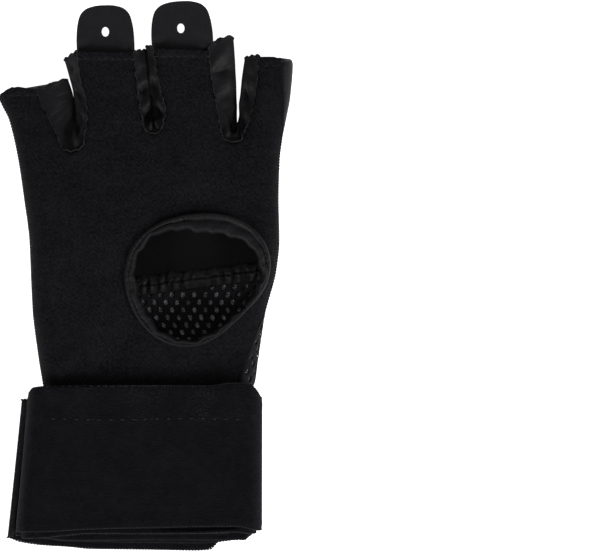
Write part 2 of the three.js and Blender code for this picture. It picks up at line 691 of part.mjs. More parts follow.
// A point on the middle of the band's cloth: pass, share along it, and share across the band
function bandPoint(pass, share, across) {
  const [from, to] = [BAND_EDGES[pass], BAND_EDGES[pass + 1]];
  const edge = (row) => lerp(row.near, row.far, across);
  const droop = BAND_DROOP[pass] * (1 - (2 * share - 1) ** 6);
  const y = lerp(lerp(from.top, to.top, share), lerp(from.foot, to.foot, share) - droop, across);
  const height = passHeight(pass);
  const direction = Math.sign(edge(to) - edge(from));
  const isFirst = pass === 0;
  const isLast = pass === BAND_EDGES.length - 2;
  const foldShare = BAND_FOLD_CELLS / (2 * BAND_FOLD_CELLS + BAND_FLAT_CELLS);
  const round = (distance) => (distance / foldShare) * RIGHT_ANGLE;
  const start = edge(from) + direction * (isFirst ? 0 : BAND_FOLD_REACH);
  const end = edge(to) - direction * (isLast ? 0 : BAND_FOLD_REACH);
  if (!isFirst && share < foldShare) {
    const angle = round(share);
    const middle = (height + passHeight(pass - 1)) / 2;
    const x = start - direction * BAND_FOLD_REACH * Math.cos(angle);
    return new THREE.Vector3(x, y, lerp(middle, height, Math.sin(angle)));
  }
  if (!isLast && share > 1 - foldShare) {
    const angle = round(1 - share);
    const middle = (height + passHeight(pass + 1)) / 2;
    const x = end + direction * BAND_FOLD_REACH * Math.cos(angle);
    return new THREE.Vector3(x, y, lerp(middle, height, Math.sin(angle)));
  }
  const first = isFirst ? 0 : foldShare;
  const last = isLast ? 1 : 1 - foldShare;
  return new THREE.Vector3(lerp(start, end, (share - first) / (last - first)), y, height);
}

// The wrist band, wound flat round the wrist and ending underneath on the little-finger side
function wristWrap() {
  const passes = BAND_EDGES.length - 1;
  const cells = 2 * BAND_FOLD_CELLS + BAND_FLAT_CELLS;
  const place = (i, across) => {
    const pass = Math.min(Math.floor(i / cells), passes - 1);
    return bandPoint(pass, i / cells - pass, across);
  };
  const pairAt = (i, j) => {
    const across = j / BAND_WIDTH_CELLS;
    const point = place(i, across);
    const before = place(Math.max(i - 0.5, 0), across);
    const after = place(Math.min(i + 0.5, passes * cells), across);
    const heading = after.sub(before).setY(0).normalize();
    const square = new THREE.Vector3(heading.z, 0, -heading.x).multiplyScalar(BAND_CLOTH / 2);
    return { face: point.clone().add(square), lining: point.clone().sub(square) };
  };
  return sheetSolid(passes * cells, BAND_WIDTH_CELLS, pairAt);
}

// Finishes: near-black cloths and a smooth rubbery tab
const FINISHES = {
  knit: { color: 0x0c0c0d, roughness: 0.95, metalness: 0 },
  mesh: { color: 0x0b0b0c, roughness: 0.85, metalness: 0 },
  smooth: { color: 0x101013, roughness: 0.55, metalness: 0 },
  rubber: { color: 0x0d0d0f, roughness: 0.45, metalness: 0 },
  band: { color: 0x0b0b0d, roughness: 0.9, metalness: 0 },
};

const glove = new THREE.Group();

function addPiece(name, geometry, finish) {
  const mesh = new THREE.Mesh(geometry, new THREE.MeshStandardMaterial(FINISHES[finish]));
  mesh.name = name;
  glove.add(mesh);
}

addPiece('palm_panel', palmPanel(), 'knit');
addPiece('back_mesh_panel', backMeshPanel(), 'mesh');
addPiece('knuckle_panel', knucklePanel(), 'smooth');
SLOTS.forEach((slot, n) => addPiece(slot.name, fourchette(n), 'smooth'));
addPiece('thumb_binding', thumbBinding(), 'smooth');
TABS.forEach((row) => addPiece(row.name, tab(row), 'rubber'));
addPiece('wrist_wrap', wristWrap(), 'band');

// The origin is under the middle of the whole glove, on the surface it lies on
const box = new THREE.Box3().setFromObject(glove);
const middle = box.getCenter(new THREE.Vector3());
glove.position.set(-middle.x, -middle.y, -box.min.z);

export default glove;
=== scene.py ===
"""Looks of a fingerless boxing inner glove that lies palm up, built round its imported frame.

All shapes are worked out in millimetres in the glove's own layout, where +X points to the thumb
side, +Y to the fingers and +Z up, and are then moved into the frame in metres.
"""
import json
import math

import bmesh
import bpy
import numpy as np
from mathutils import Matrix, Vector


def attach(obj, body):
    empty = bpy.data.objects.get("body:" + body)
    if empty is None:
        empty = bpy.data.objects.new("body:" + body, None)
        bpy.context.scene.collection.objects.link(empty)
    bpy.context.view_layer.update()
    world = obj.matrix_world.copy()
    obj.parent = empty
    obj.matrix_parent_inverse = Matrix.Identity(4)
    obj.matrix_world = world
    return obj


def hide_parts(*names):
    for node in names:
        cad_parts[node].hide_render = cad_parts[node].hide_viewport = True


bl_info = {
    "name": "Boxing Inner Glove",
    "version": (1, 0, 0),
    "blender": (4, 5, 0),
    "location": "View3D > Sidebar > Glove",
    "description": "Builds a fingerless boxing inner glove round its packed frame",
    "category": "Object",
}

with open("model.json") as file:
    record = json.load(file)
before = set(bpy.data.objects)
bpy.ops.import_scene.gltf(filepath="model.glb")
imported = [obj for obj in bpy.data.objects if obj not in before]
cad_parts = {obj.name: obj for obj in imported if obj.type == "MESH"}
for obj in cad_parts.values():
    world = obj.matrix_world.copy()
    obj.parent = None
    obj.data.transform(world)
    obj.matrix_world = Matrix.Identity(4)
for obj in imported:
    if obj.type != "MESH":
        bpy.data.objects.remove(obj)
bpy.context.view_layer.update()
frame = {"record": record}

MM = 0.001
RIGHT_ANGLE = math.pi / 2
NUDGE = 1e-3
UP = (0.0, 0.0, 1.0)

# One mount's place in the glove's layout, and from it the way into the frame
REST_MOUNT = next(m for m in frame["record"]["mounts"] if m["name"] == "rest_wrist")
REST_POINT = np.array([5.0, -72.0, 0.0])
OFFSET = np.array(REST_MOUNT["pos_m"]) / MM - REST_POINT

# Hand shell, at rows along the hand: its two sides, its underside and topside, and how far its
# thumb side wraps up, in degrees
WRIST_END = -64.0
SIDE_ROUND = 7.0
PALM_FINGER_CROWN = 1.2
BACK_FINGER_CROWN = 0.9
SIDE_ROWS = [-64.0, -45.0, -39.6, -30.7, -12.2, 2.6, 13.7, 28.5, 43.3, 58.1, 67.0, 80.4]
LITTLE_SIDE = [-37.0, -37.6, -38.3, -39.8, -42.2, -42.9, -43.4, -45.3, -47.5, -50.9, -54.6, -55.0]
THUMB_SIDE = [36.6, 37.4, 40.1, 41.4, 44.3, 48.0, 49.1, 48.8, 49.2, 51.8, 53.5, 54.5]
HEIGHT_ROWS = [-64.0, -43.5, -20.0, 20.0, 45.0, 60.0, 89.0]
UNDERSIDE = [6.05, 6.05, 0.0, 0.0, 0.0, 0.0, 0.0]
TOPSIDE = [17.15, 17.15, 15.6, 15.2, 13.4, 12.2, 11.4]
THUMB_EDGE_ROWS = [-45.0, -38.0, -24.0, -6.0, 42.0, 62.0, 81.0]
THUMB_EDGE_WRAP = [80, 78, 56, 6, 0, 44, 74]

# The wrist band holds the palm flat up to the first row, and it lies free from the second
HELD_FLAT_TO = -44.0
FREE_FROM = -37.0

# Soft folds of the palm: centre x and y, heading in degrees, half length, half width, height
PALM_FOLDS = [
    (17.0, 28.0, 4, 20, 6, -1.3),
    (-31.5, -33.0, 50, 9, 2.6, 1.0),
    (-24.0, -20.0, 52, 18, 6, 0.8),
    (-14.0, -31.0, 48, 14, 4, -0.7),
    (28.0, -30.0, 8, 15, 6, -1.1),
    (-25.0, 36.0, -70, 14, 6, -0.6),
    (4.0, 42.0, 85, 14, 6, -0.5),
    (-12.0, 10.0, 80, 40, 16, 0.8),
]

# Slots between the fingers: each side from the crotch to the finger top
SLOTS = [
    {
        "name": "fourchette_pinky_ring",
        "palm": {
            "left": [(-32.0, 49.6), (-35.6, 57.2), (-39.2, 64.4), (-40.9, 69.4)],
            "right": [(-23.1, 50.0), (-22.3, 57.4), (-22.4, 65.0), (-24.8, 74.7), (-25.7, 83.6)],
            "dip": 3.2,
        },
        "back": {
            "left": [(-26.9, 59.9), (-26.9, 64.4), (-28.0, 68.9), (-29.5, 73.3)],
            "right": [(-25.6, 59.9), (-26.0, 65.0), (-27.1, 70.4), (-28.6, 75.4), (-30.2, 80.3)],
            "dip": 1.2,
        },
    },
    {
        "name": "fourchette_ring_middle",
        "palm": {
            "left": [(-1.3, 56.6), (-2.8, 64.4), (-3.9, 74.0), (-4.9, 83.3)],
            "right": [(5.9, 56.2), (7.1, 61.4), (5.7, 67.3), (3.7, 76.6), (2.6, 84.9)],
            "dip": 3.2,
        },
        "back": {
            "left": [(1.7, 61.1), (1.1, 67.0), (0.3, 73.5), (-0.5, 83.6)],
            "right": [(2.5, 61.1), (1.9, 67.0), (1.1, 73.5), (0.4, 85.4)],
            "dip": 1.3,
        },
    },
    {
        "name": "fourchette_middle_index",
        "palm": {
            "left": [(27.8, 52.5), (25.7, 64.0), (23.9, 74.7), (22.8, 84.0)],
            "right": [(35.4, 51.6), (38.6, 60.0), (40.6, 69.0), (41.3, 81.6)],
            "dip": 1.9,
        },
        "back": {
            "left": [(33.1, 58.1), (33.2, 67.3), (32.8, 78.4), (32.2, 88.2)],
            "right": [(34.7, 58.1), (34.9, 65.0), (35.5, 73.0), (36.5, 80.8)],
            "dip": 1.4,
        },
    },
]

# Rows of the crotches and the finger tops at columns 0, 1, 8 and 9 of a face, the shares of
# columns 1 to 8 across the wrist, the blocks of columns that are slots, and the trim at the sides
OUTER_ROWS = {
    "palm": {"crotch": [50.4, 50.4, 52.4, 52.4], "top": [67.0, 70.6, 81.6, 80.4]},
    "back": {"crotch": [58.5, 58.5, 57.0, 57.0], "top": [66.6, 70.2, 82.0, 80.4]},
}
WRIST_SHARES = [0, 0.12, 0.22, 0.47, 0.55, 0.80, 0.89, 1]
SLOT_BLOCKS = (2, 4, 6)
SEAM_TRIM = 0.004

# Folds of each gusset: share along it, share down it, their half widths, and how far they swell
GUSSET_FOLDS = [
    [
        (0.10, 0.30, 0.06, 0.30, 0.3),
        (0.30, 0.55, 0.07, 0.35, -0.5),
        (0.42, 0.45, 0.035, 0.30, 1.3),
        (0.47, 0.20, 0.07, 0.20, 1.9),
        (0.56, 0.22, 0.03, 0.18, 1.3),
        (0.57, 0.35, 0.025, 0.30, -0.9),
        (0.64, 0.25, 0.03, 0.25, 1.1),
        (0.72, 0.55, 0.04, 0.30, -0.8),
        (0.82, 0.35, 0.05, 0.30, 0.7),
        (0.92, 0.60, 0.03, 0.30, -0.5),
    ],
    [
        (0.06, 0.50, 0.03, 0.40, 0.5),
        (0.14, 0.60, 0.04, 0.30, 1.0),
        (0.22, 0.40, 0.03, 0.30, -0.8),
        (0.30, 0.45, 0.035, 0.30, 1.2),
        (0.38, 0.60, 0.025, 0.30, -1.1),
        (0.44, 0.35, 0.025, 0.25, 1.3),
        (0.46, 0.22, 0.04, 0.18, 1.7),
        (0.54, 0.20, 0.035, 0.18, 1.5),
        (0.50, 0.60, 0.02, 0.25, -0.9),
        (0.55, 0.30, 0.025, 0.25, 1.2),
        (0.62, 0.60, 0.025, 0.30, -1.2),
        (0.68, 0.40, 0.03, 0.30, 1.1),
        (0.77, 0.55, 0.04, 0.30, -0.9),
        (0.86, 0.40, 0.04, 0.35, 0.9),
        (0.95, 0.50, 0.03, 0.40, -0.4),
    ],
    [
        (0.06, 0.45, 0.03, 0.40, 0.9),
        (0.13, 0.50, 0.018, 0.50, -0.9),
        (0.20, 0.45, 0.035, 0.40, 0.6),
        (0.27, 0.60, 0.03, 0.30, -0.4),
        (0.36, 0.40, 0.05, 0.35, 0.4),
        (0.45, 0.24, 0.05, 0.20, 1.9),
        (0.53, 0.20, 0.03, 0.18, 1.2),
        (0.50, 0.65, 0.02, 0.25, -1.0),
        (0.55, 0.40, 0.025, 0.30, 1.2),
        (0.62, 0.60, 0.03, 0.30, -1.3),
        (0.69, 0.35, 0.03, 0.30, 1.0),
        (0.77, 0.60, 0.035, 0.30, -1.3),
        (0.85, 0.30, 0.03, 0.30, 0.9),
        (0.93, 0.45, 0.035, 0.30, 0.5),
    ],
]

# How far the walls of each gusset swell to meet low down: shares along it, and the swell there
GUSSET_CLOSING = [
    [(0.0, 0.0), (0.12, 0.2), (0.20, 0.9), (0.34, 1.2), (0.66, 1.1), (0.80, 0.5), (0.90, 0.2),
     (1.0, 0.0)],
    [(0.0, 0.9), (0.10, 1.1), (0.30, 1.3), (0.70, 1.3), (0.90, 1.1), (1.0, 0.9)],
    [(0.0, 0.0), (0.12, 0.4), (0.28, 0.6), (0.34, 1.1), (0.62, 1.0), (0.70, 1.9), (0.86, 1.6),
     (1.0, 0.6)],
]

# How far the gussets' edges lie back from the slots' edges, and for each gusset how much it is
# crumpled and how far its two ends rise at the finger tops
GUSSET_PALM_SETBACK = 0.45
GUSSET_BACK_SETBACK = (-0.3, -0.5, 0.0)
GUSSET_CRUMPLE = (0.16, 0.75, 0.4)
GUSSET_END_RISE = ((0.0, 0.3), (0.3, 0.0), (2.0, 0.5))

# Stretches of the finger backs' tops where a rolled hem shows: columns across the hand, and how
# far the roll stands past the edge
HEM_ROLLS = [
    (0.35, 0.72, 1.1),
    (1.72, 1.97, 0.0),
    (3.03, 3.16, 0.0),
    (3.86, 3.97, 0.0),
    (5.03, 5.12, 0.0),
    (5.78, 5.97, 0.0),
    (7.05, 7.45, 0.9),
]

# Seam between the knuckle panel and the mesh, and the turned-in band that covers it inside
SEAM_Y = -3.8
SEAM_SLOPE = 0.115
SEAM_ENDS = (-44.0, 47.0)
SEAM_BAND = 4.4
BACK_CROTCH_Y = 58.0

# Thumb hole: its centre, and each wave's cosine and sine parts for its outer and inner edges
THUMB_HOLE = (18.5, -1.1)
THUMB_WAVES = {
    "outer": [(25.5, 0.0), (-0.6, 1.2), (0.9, 1.8), (0.3, 1.2)],
    "inner": [(21.3, 0.0), (-0.5, -0.5), (1.6, 0.6), (1.0, 1.4)],
}
THUMB_CUT_SHARE = 0.42
BINDING_UNDER_SHARE = 0.72
GATHERS = 19

# Pull tabs: the middle and height of the round end, half the width, the turn in degrees, and
# the hole's place
TABS = [
    {"name": "ring_tab", "x": -15.7, "y": 100.7, "half": 10.7, "turn": 1.8, "hole": (0.1, -9.9)},
    {"name": "middle_tab", "x": 12.4, "y": 102.2, "half": 11.4, "turn": 3.2, "hole": (-0.3, -10.1)},
]
TAB_SIDE = [
    (10.7, -17.6), (10.75, -13.0), (10.55, -9.7), (10.2, -7.1), (9.45, -4.2), (8.4, -2.5),
    (6.7, -1.15), (4.0, -0.3), (1.5, -0.02),
]
TAB_LENGTH = 25.6
TAB_SHOULDER = 17.9
TAB_ROOT_HALF = 6.8
TAB_TOP = 9.5

# Wrist band, from its inner end to its outer end: where its top and its foot fold, the top edge
# at the folds of its hidden passes, and the foot of its first pass
BAND_NEAR = [30.0, -40.6, 38.7, -42.1, 40.4, -43.4, 42.4, -46.5]
BAND_FAR = [30.0, -44.4, 38.6, -45.9, 40.3, -48.0, 42.3, -51.8]
BAND_TOP = [-46.0, -45.5, -45.0, -43.8, -43.0]
BAND_FIRST_FOOT = -95.0
BAND_PASSES = len(BAND_NEAR) - 1

# Edges of the band's passes that show, as points of the plan: top edges and feet
BAND_TOP_LINES = {
    4: [(-47.0, -43.6), (-40.0, -42.0), (0.0, -41.4), (38.0, -41.0), (40.4, -43.4), (42.5, -45.8)],
    5: [(-46.0, -46.0), (-43.6, -43.4), (-41.6, -41.0), (-37.9, -40.5), (0.0, -40.1),
        (23.5, -40.2), (31.0, -39.2), (38.0, -39.4), (40.6, -41.8), (42.5, -44.6)],
    6: [(-51.8, -46.2), (-46.5, -45.6), (0.0, -43.0), (36.0, -41.0), (40.6, -42.6), (42.5, -44.8)],
}
BAND_FOOT_LINES = {
    1: [(-44.0, -92.6), (38.8, -92.6)],
    2: [(-46.0, -96.0), (-28.5, -97.6), (1.2, -97.4), (25.3, -97.5), (36.0, -97.4), (38.8, -95.4)],
    3: [(-45.9, -96.4), (-39.2, -96.2), (-28.5, -95.1), (-19.9, -94.5), (1.2, -94.6),
        (18.3, -94.5), (33.1, -94.0), (39.0, -94.6)],
    4: [(-47.6, -95.4), (-30.0, -97.8), (1.2, -98.4), (20.0, -98.6), (31.0, -97.6), (40.2, -94.4)],
    5: [(-48.3, -93.9), (-35.0, -93.7), (-24.0, -93.0), (-8.7, -92.5), (1.2, -92.3),
        (19.8, -91.9), (33.9, -91.8), (41.8, -93.4)],
    6: [(-51.8, -96.7), (-47.3, -98.2), (-39.2, -99.4), (-28.5, -100.1), (-21.6, -100.8),
        (1.2, -101.1), (18.5, -101.4), (23.5, -101.0), (25.4, -99.2), (27.2, -97.6), (36.0, -96.8),
        (38.4, -94.6), (42.3, -93.2)],
}

# Passes over the hand, counted from 0: the outermost, and the next one below it
OUTER_PASS = 5
NEXT_PASS = 3

# The band's width, its layers under the hand, the height of its first layer over the hand, how
# far a fold reaches out and its share of a pass, and the gap between two layers
BAND_WIDTH = 53
BAND_BACK_LAYERS = 4
BAND_FRONT = 17.5
BAND_FOLD_REACH = 5.0
BAND_FOLD_SHARE = 3 / 11
BAND_LAYER_GAP = 0.3

# The photograph's frame: its width on the glove, the point under its middle, and the height at
# which both hold
VIEW_WIDTH = 222.0
VIEW_MIDDLE = (56.8, 0.37)
VIEW_PLANE = 12.0


def mix(a, b, share):
    """The value a share of the way from a to b."""
    return a + (b - a) * share


def smooth_step(value, low, high):
    """0 below low, 1 above high, and a smooth rise between."""
    share = np.clip((value - low) / (high - low), 0, 1)
    return share * share * (3 - 2 * share)


def hump(value, middle, half):
    """A smooth hump of height 1 round a middle."""
    return np.exp(-(((value - middle) / half) ** 2))


def in_frame(points):
    """Points of the glove's layout in millimetres as points of the frame in metres."""
    return (np.asarray(points, float) + OFFSET) * MM


class Profile:
    """A value that changes smoothly along the hand, with no overshoot between its rows."""

    def __init__(self, places, values):
        self.places = np.array(places, float)
        self.values = np.array(values, float)
        slopes = np.diff(self.values) / np.diff(self.places)
        before = slopes[:-1]
        after = slopes[1:]
        same_way = before * after > 0
        total = np.where(same_way, before + after, 1)
        inner = np.where(same_way, 2 * before * after / total, 0)
        self.tangents = np.concatenate([[0], inner, [0]])

    def __call__(self, place):
        place = np.clip(place, self.places[0], self.places[-1])
        last = len(self.places) - 2
        k = np.clip(np.searchsorted(self.places, place, "right") - 1, 0, last)
        step = self.places[k + 1] - self.places[k]
        s = (place - self.places[k]) / step
        ends = self.values[k] * (1 + 2 * s) * (1 - s) ** 2
        ends = ends + self.values[k + 1] * s * s * (3 - 2 * s)
        bends = self.tangents[k] * s * (1 - s) ** 2 - self.tangents[k + 1] * s * s * (1 - s)
        return ends + step * bends


little_side = Profile(SIDE_ROWS, LITTLE_SIDE)
thumb_side = Profile(SIDE_ROWS, THUMB_SIDE)
underside = Profile(HEIGHT_ROWS, UNDERSIDE)
topside = Profile(HEIGHT_ROWS, TOPSIDE)
thumb_wrap = Profile(THUMB_EDGE_ROWS, np.radians(THUMB_EDGE_WRAP))


def spline_point(points, share):
    """Places on a smooth curve through a few points, at shares of its length from 0 to 1."""
    points = np.array(points, float)
    last = len(points) - 1
    place = np.clip(share, 0, 1) * last
    k = np.minimum(np.floor(place).astype(int), last - 1)
    s = (place - k)[:, None]
    before = points[np.maximum(k - 1, 0)]
    here = points[k]
    there = points[k + 1]
    after = points[np.minimum(k + 2, last)]
    leave = (there - before) / 2
    arrive = (after - here) / 2
    cube = (2 * here - 2 * there + leave + arrive) * s**3
    square = (-3 * here + 3 * there - 2 * leave - arrive) * s**2
    return cube + square + leave * s + here


def palm_folds(x, y):
    """Height that the palm's soft folds add at a point."""
    height = np.zeros_like(x)
    for fold_x, fold_y, heading, length, width, rise in PALM_FOLDS:
        turn = math.radians(heading)
        lengthwise = ((x - fold_x) * math.cos(turn) + (y - fold_y) * math.sin(turn)) / length
        across = ((y - fold_y) * math.cos(turn) - (x - fold_x) * math.sin(turn)) / width
        height = height + rise * np.exp(-(lengthwise**2 + across**2))
    return height * smooth_step(y, HELD_FLAT_TO, FREE_FROM)


def side_point(is_thumb, y, angle):
    """A point on a rounded side, from -90 degrees on the back, through 0, to 90 on the palm."""
    edge = thumb_side(y) if is_thumb else little_side(y)
    inward = SIDE_ROUND * (1 - np.cos(angle)) * (-1 if is_thumb else 1)
    middle = (underside(y) + topside(y)) / 2
    x = edge + inward
    lift = np.where(angle > 0, palm_folds(x, y) * np.sin(angle) ** 2, 0)
    return np.stack([x, y, middle + (topside(y) - middle) * np.sin(angle) + lift], -1)


def palm_height(x, y):
    """Height of the palm's face over a point of the plan."""
    inward = np.minimum(x - little_side(y), thumb_side(y) - x)
    angle = np.arccos(np.clip(1 - inward / SIDE_ROUND, 0, 1))
    rise = np.sin(angle)
    middle = (underside(y) + topside(y)) / 2
    return mix(middle, topside(y), rise) + palm_folds(x, y) * rise**2


class Face:
    """One face of the glove, palm or back, laid out in ten numbered columns: 0 and 9 are the
    sides, 1 and 8 the ends of their rounding, and 2 to 7 the two sides of each slot. Its stages
    count up from the wrist at 0; the crotch row and the finger tops are the last two."""

    def __init__(self, kind, lower_rows):
        self.kind = kind
        self.lower_rows = lower_rows
        self.crotch = len(lower_rows)
        self.outer = OUTER_ROWS[kind]
        self.slot_sides = [slot[kind][side] for slot in SLOTS for side in ("left", "right")]
        self.dips = [slot[kind]["dip"] for slot in SLOTS]

    def columns(self, share):
        """The place in the plan of all ten columns, at shares of the fingers' length."""
        places = []
        for number in range(10):
            if 2 <= number <= 7:
                places.append(spline_point(self.slot_sides[number - 2], share))
                continue
            n = number if number < 2 else number - 6
            y = mix(self.outer["crotch"][n], self.outer["top"][n], share)
            inward = SIDE_ROUND if number in (1, 8) else 0
            x = little_side(y) + inward if number < 2 else thumb_side(y) - inward
            places.append(np.stack([x, y], -1))
        return np.stack(places)

    def finger_plan(self, c, share):
        """A place at or above the crotch row, with each slot's round bottom."""
        left = np.clip(np.floor(c).astype(int), 0, 8)
        s = c - left
        places = self.columns(share)
        each = np.arange(len(c))
        spot = mix(places[left, each], places[left + 1, each], s[:, None])
        for block, dip in zip(SLOT_BLOCKS, self.dips):
            round_bottom = dip * np.sqrt(np.clip(4 * s * (1 - s), 0, None))
            spot[:, 1] -= np.where(left == block, round_bottom, 0)
        return spot

    def plan(self, c, t):
        """The place in the plan of column c at stage t."""
        fingers = self.finger_plan(c, np.clip(t - self.crotch, 0, 1))
        top = self.finger_plan(c, np.zeros_like(c))
        left = np.clip(np.floor(c).astype(int), 1, 7)
        shares = np.array(WRIST_SHARES)
        wrist_share = np.clip(mix(shares[left - 1], shares[left], c - left), 0, 1)
        rows = [row(wrist_share) for row in self.lower_rows] + [top[:, 1]]
        stage = np.clip(np.floor(t).astype(int), 0, self.crotch - 1)
        rows = np.stack(rows)
        each = np.arange(len(c))
        y = mix(rows[stage, each], rows[stage + 1, each], np.clip(t - stage, 0, 1))
        start = little_side(top[:, 1]) + SIDE_ROUND
        end = thumb_side(top[:, 1]) - SIDE_ROUND
        crotch_share = (top[:, 0] - start) / (end - start)
        share = mix(wrist_share, crotch_share, np.clip(t - self.crotch + 1, 0, 1))
        x = mix(little_side(y) + SIDE_ROUND, thumb_side(y) - SIDE_ROUND, share)
        hand = np.stack([x, y], -1)
        return np.where((t >= self.crotch)[:, None], fingers, hand)

    def crown(self, c, t):
        """How much a finger's edge drops away from its crown."""
        left = np.floor(np.clip(c, 1, 8 - NUDGE)).astype(int)
        s = np.clip(c, 1, 8) - left
        to_edge = np.where(np.isin(left, (3, 5)), np.abs(2 * s - 1), np.where(left == 1, s, 1 - s))
        drop = np.where(np.isin(left, SLOT_BLOCKS), 1, to_edge**4)
        return drop * smooth_step(t, self.crotch - 0.08, self.crotch + 0.5)

    def point(self, c, t):
        """A point on the outer face of the cloth."""
        plan = self.plan(c, t)
        x = plan[:, 0]
        y = plan[:, 1]
        sign = 1 if self.kind == "palm" else -1
        if self.kind == "palm":
            z = palm_height(x, y) - PALM_FINGER_CROWN * self.crown(c, t)
        else:
            z = underside(y) + BACK_FINGER_CROWN * self.crown(c, t)
        flat = np.stack([x, y, z], -1)
        little = side_point(False, y, sign * np.clip(c, 0, 1) * RIGHT_ANGLE)
        s = np.clip(c - 8, 0, 1)
        edge_y = self.plan(8 + s, t)[:, 1]
        thumb = side_point(True, edge_y, mix(sign * RIGHT_ANGLE, thumb_wrap(edge_y), s))
        points = np.where((c < 1)[:, None], little, flat)
        return np.where((c > 8)[:, None], thumb, points)

    def outward(self, c, t):
        """The direction out of the glove, square to the cloth."""
        block = np.floor(np.clip(c, 0, 9 - NUDGE))
        aside = np.where(c - block < 0.5, NUDGE, -NUDGE)
        onward = np.where(t < self.crotch + 0.5, NUDGE, -NUDGE)
        here = self.point(c, t)
        across = (self.point(c + aside, t) - here) * np.sign(aside)[:, None]
        lengthwise = (self.point(c, t + onward) - here) * np.sign(onward)[:, None]
        square = np.cross(across, lengthwise)
        square /= np.linalg.norm(square, axis=1)[:, None]
        return square if self.kind == "palm" else -square

    def cloth_spot(self, c, t):
        """Where a point lies on the cloth laid flat, in millimetres, for the weave."""
        point = self.point(c, t)
        little = np.clip(1 - c, 0, 1) * SIDE_ROUND * RIGHT_ANGLE
        thumb = np.clip(c - 8, 0, 1) * SIDE_ROUND * RIGHT_ANGLE
        inside = np.clip(point[:, 0], little_side(point[:, 1]) + SIDE_ROUND, None)
        inside = np.minimum(inside, thumb_side(point[:, 1]) - SIDE_ROUND)
        return np.stack([inside - little + thumb, point[:, 1]], -1)

    def slot_edge(self, number, side_steps, turn_steps):
        """Columns and stages along a slot's edge, from its left finger top to its right one."""
        left = 2 + 2 * number
        side = np.linspace(1, 0, side_steps, endpoint=False)
        turn = np.linspace(left, left + 1, turn_steps + 1)
        c = np.concatenate([np.full(side_steps, left), turn, np.full(side_steps, left + 1)])
        flat = np.zeros(turn_steps + 1)
        t = self.crotch + np.concatenate([side, flat, side[::-1]])
        return c.astype(float), t

    def edge_distance(self, points):
        """Distance in the plan from points to the nearest slot edge."""
        edges = [self.point(*self.slot_edge(number, 30, 14))[:, :2] for number in range(3)]
        edges = np.concatenate(edges)
        apart = points[:, None, :2] - edges[None]
        return np.sqrt((apart**2).sum(-1).min(1))


def wrist_row(share):
    """The wrist end of the hand shell."""
    return np.full_like(share, WRIST_END)


def seam_row(share):
    """The seam across the back, a little higher on the thumb side."""
    return SEAM_Y + SEAM_SLOPE * mix(SEAM_ENDS[0], SEAM_ENDS[1], share)


palm_face = Face("palm", [wrist_row])
back_face = Face("back", [wrist_row, seam_row])


# Waves that make up a rumple, and the turn that one wavelength of them adds
RUMPLE_WAVES = 7
RUMPLE_TURN = 6.28


def rumple(x, y, size, seed):
    """Gentle unevenness of cloth, about -1 to 1, in waves of about one size."""
    draw = np.random.default_rng(seed)
    total = np.zeros_like(x)
    for _ in range(RUMPLE_WAVES):
        heading = draw.uniform(0, math.pi)
        pitch = size * draw.uniform(0.7, 1.6)
        start = draw.uniform(0, 2 * math.pi)
        onward = x * math.cos(heading) + y * math.sin(heading)
        total = total + np.sin(onward / pitch * RUMPLE_TURN + start)
    return total / (RUMPLE_WAVES / 2)


def thumb_radius(edge, turn):
    """Distance from the thumb hole's middle to one of its edges."""
    total = np.zeros_like(turn)
    for wave, (cosine, sine) in enumerate(THUMB_WAVES[edge]):
        total = total + cosine * np.cos(wave * turn) + sine * np.sin(wave * turn)
    return total


def round_thumb(radius, turn):
    """The place in the plan at a distance and an angle from the thumb hole's middle."""
    return THUMB_HOLE[0] + radius * np.cos(turn), THUMB_HOLE[1] + radius * np.sin(turn)


def thumb_cut(turn):
    """Distance from the thumb hole's middle to the palm's cut edge, under the binding."""
    return mix(thumb_radius("inner", turn), thumb_radius("outer", turn), THUMB_CUT_SHARE)


def block_values(counts, first=0):
    """Column or stage values with a number of even cells in each block."""
    values = [first + n + k / count for n, count in enumerate(counts) for k in range(count)]
    return np.array(values + [first + len(counts)])


def face_columns(counts):
    """Column values of a face's cloth, trimmed a little at both sides."""
    columns = block_values(counts)
    columns[0] = SEAM_TRIM
    columns[-1] = 9 - SEAM_TRIM
    return columns


def in_slot(face, columns, stages, i, j):
    """Whether cells of a face's cloth lie in a slot, from their middles' column and row numbers."""
    block = np.floor(np.interp(i, np.arange(len(columns)), columns))
    stage = np.interp(j, np.arange(len(stages)), stages)
    return np.isin(block, SLOT_BLOCKS) & (stage > face.crotch)


def make_cloth(columns, rows, place, cut=None, turned=False):
    """A grid of cloth as a bmesh. From the column and row numbers of the grid's corners, place
    gives their points, their spots on the flat cloth, and how far they stand out of the cloth."""
    cloth = bmesh.new()
    bmesh.ops.create_grid(cloth, x_segments=columns, y_segments=rows, size=1)
    corners = np.array([vertex.co[:2] for vertex in cloth.verts])
    i = np.rint((corners[:, 0] + 1) * columns / 2).astype(int)
    j = np.rint((corners[:, 1] + 1) * rows / 2).astype(int)
    points, spots, stand = place(i, j)
    shape_cloth(cloth, points, spots, stand, turned)
    if cut is not None:
        numbers = np.array([[v.index for v in face.verts] for face in cloth.faces])
        is_cut = cut(i[numbers].mean(1), j[numbers].mean(1), points[numbers].mean(1))
        doomed = [face for face, gone in zip(list(cloth.faces), is_cut) if gone]
        bmesh.ops.delete(cloth, geom=doomed, context="FACES")
    return cloth


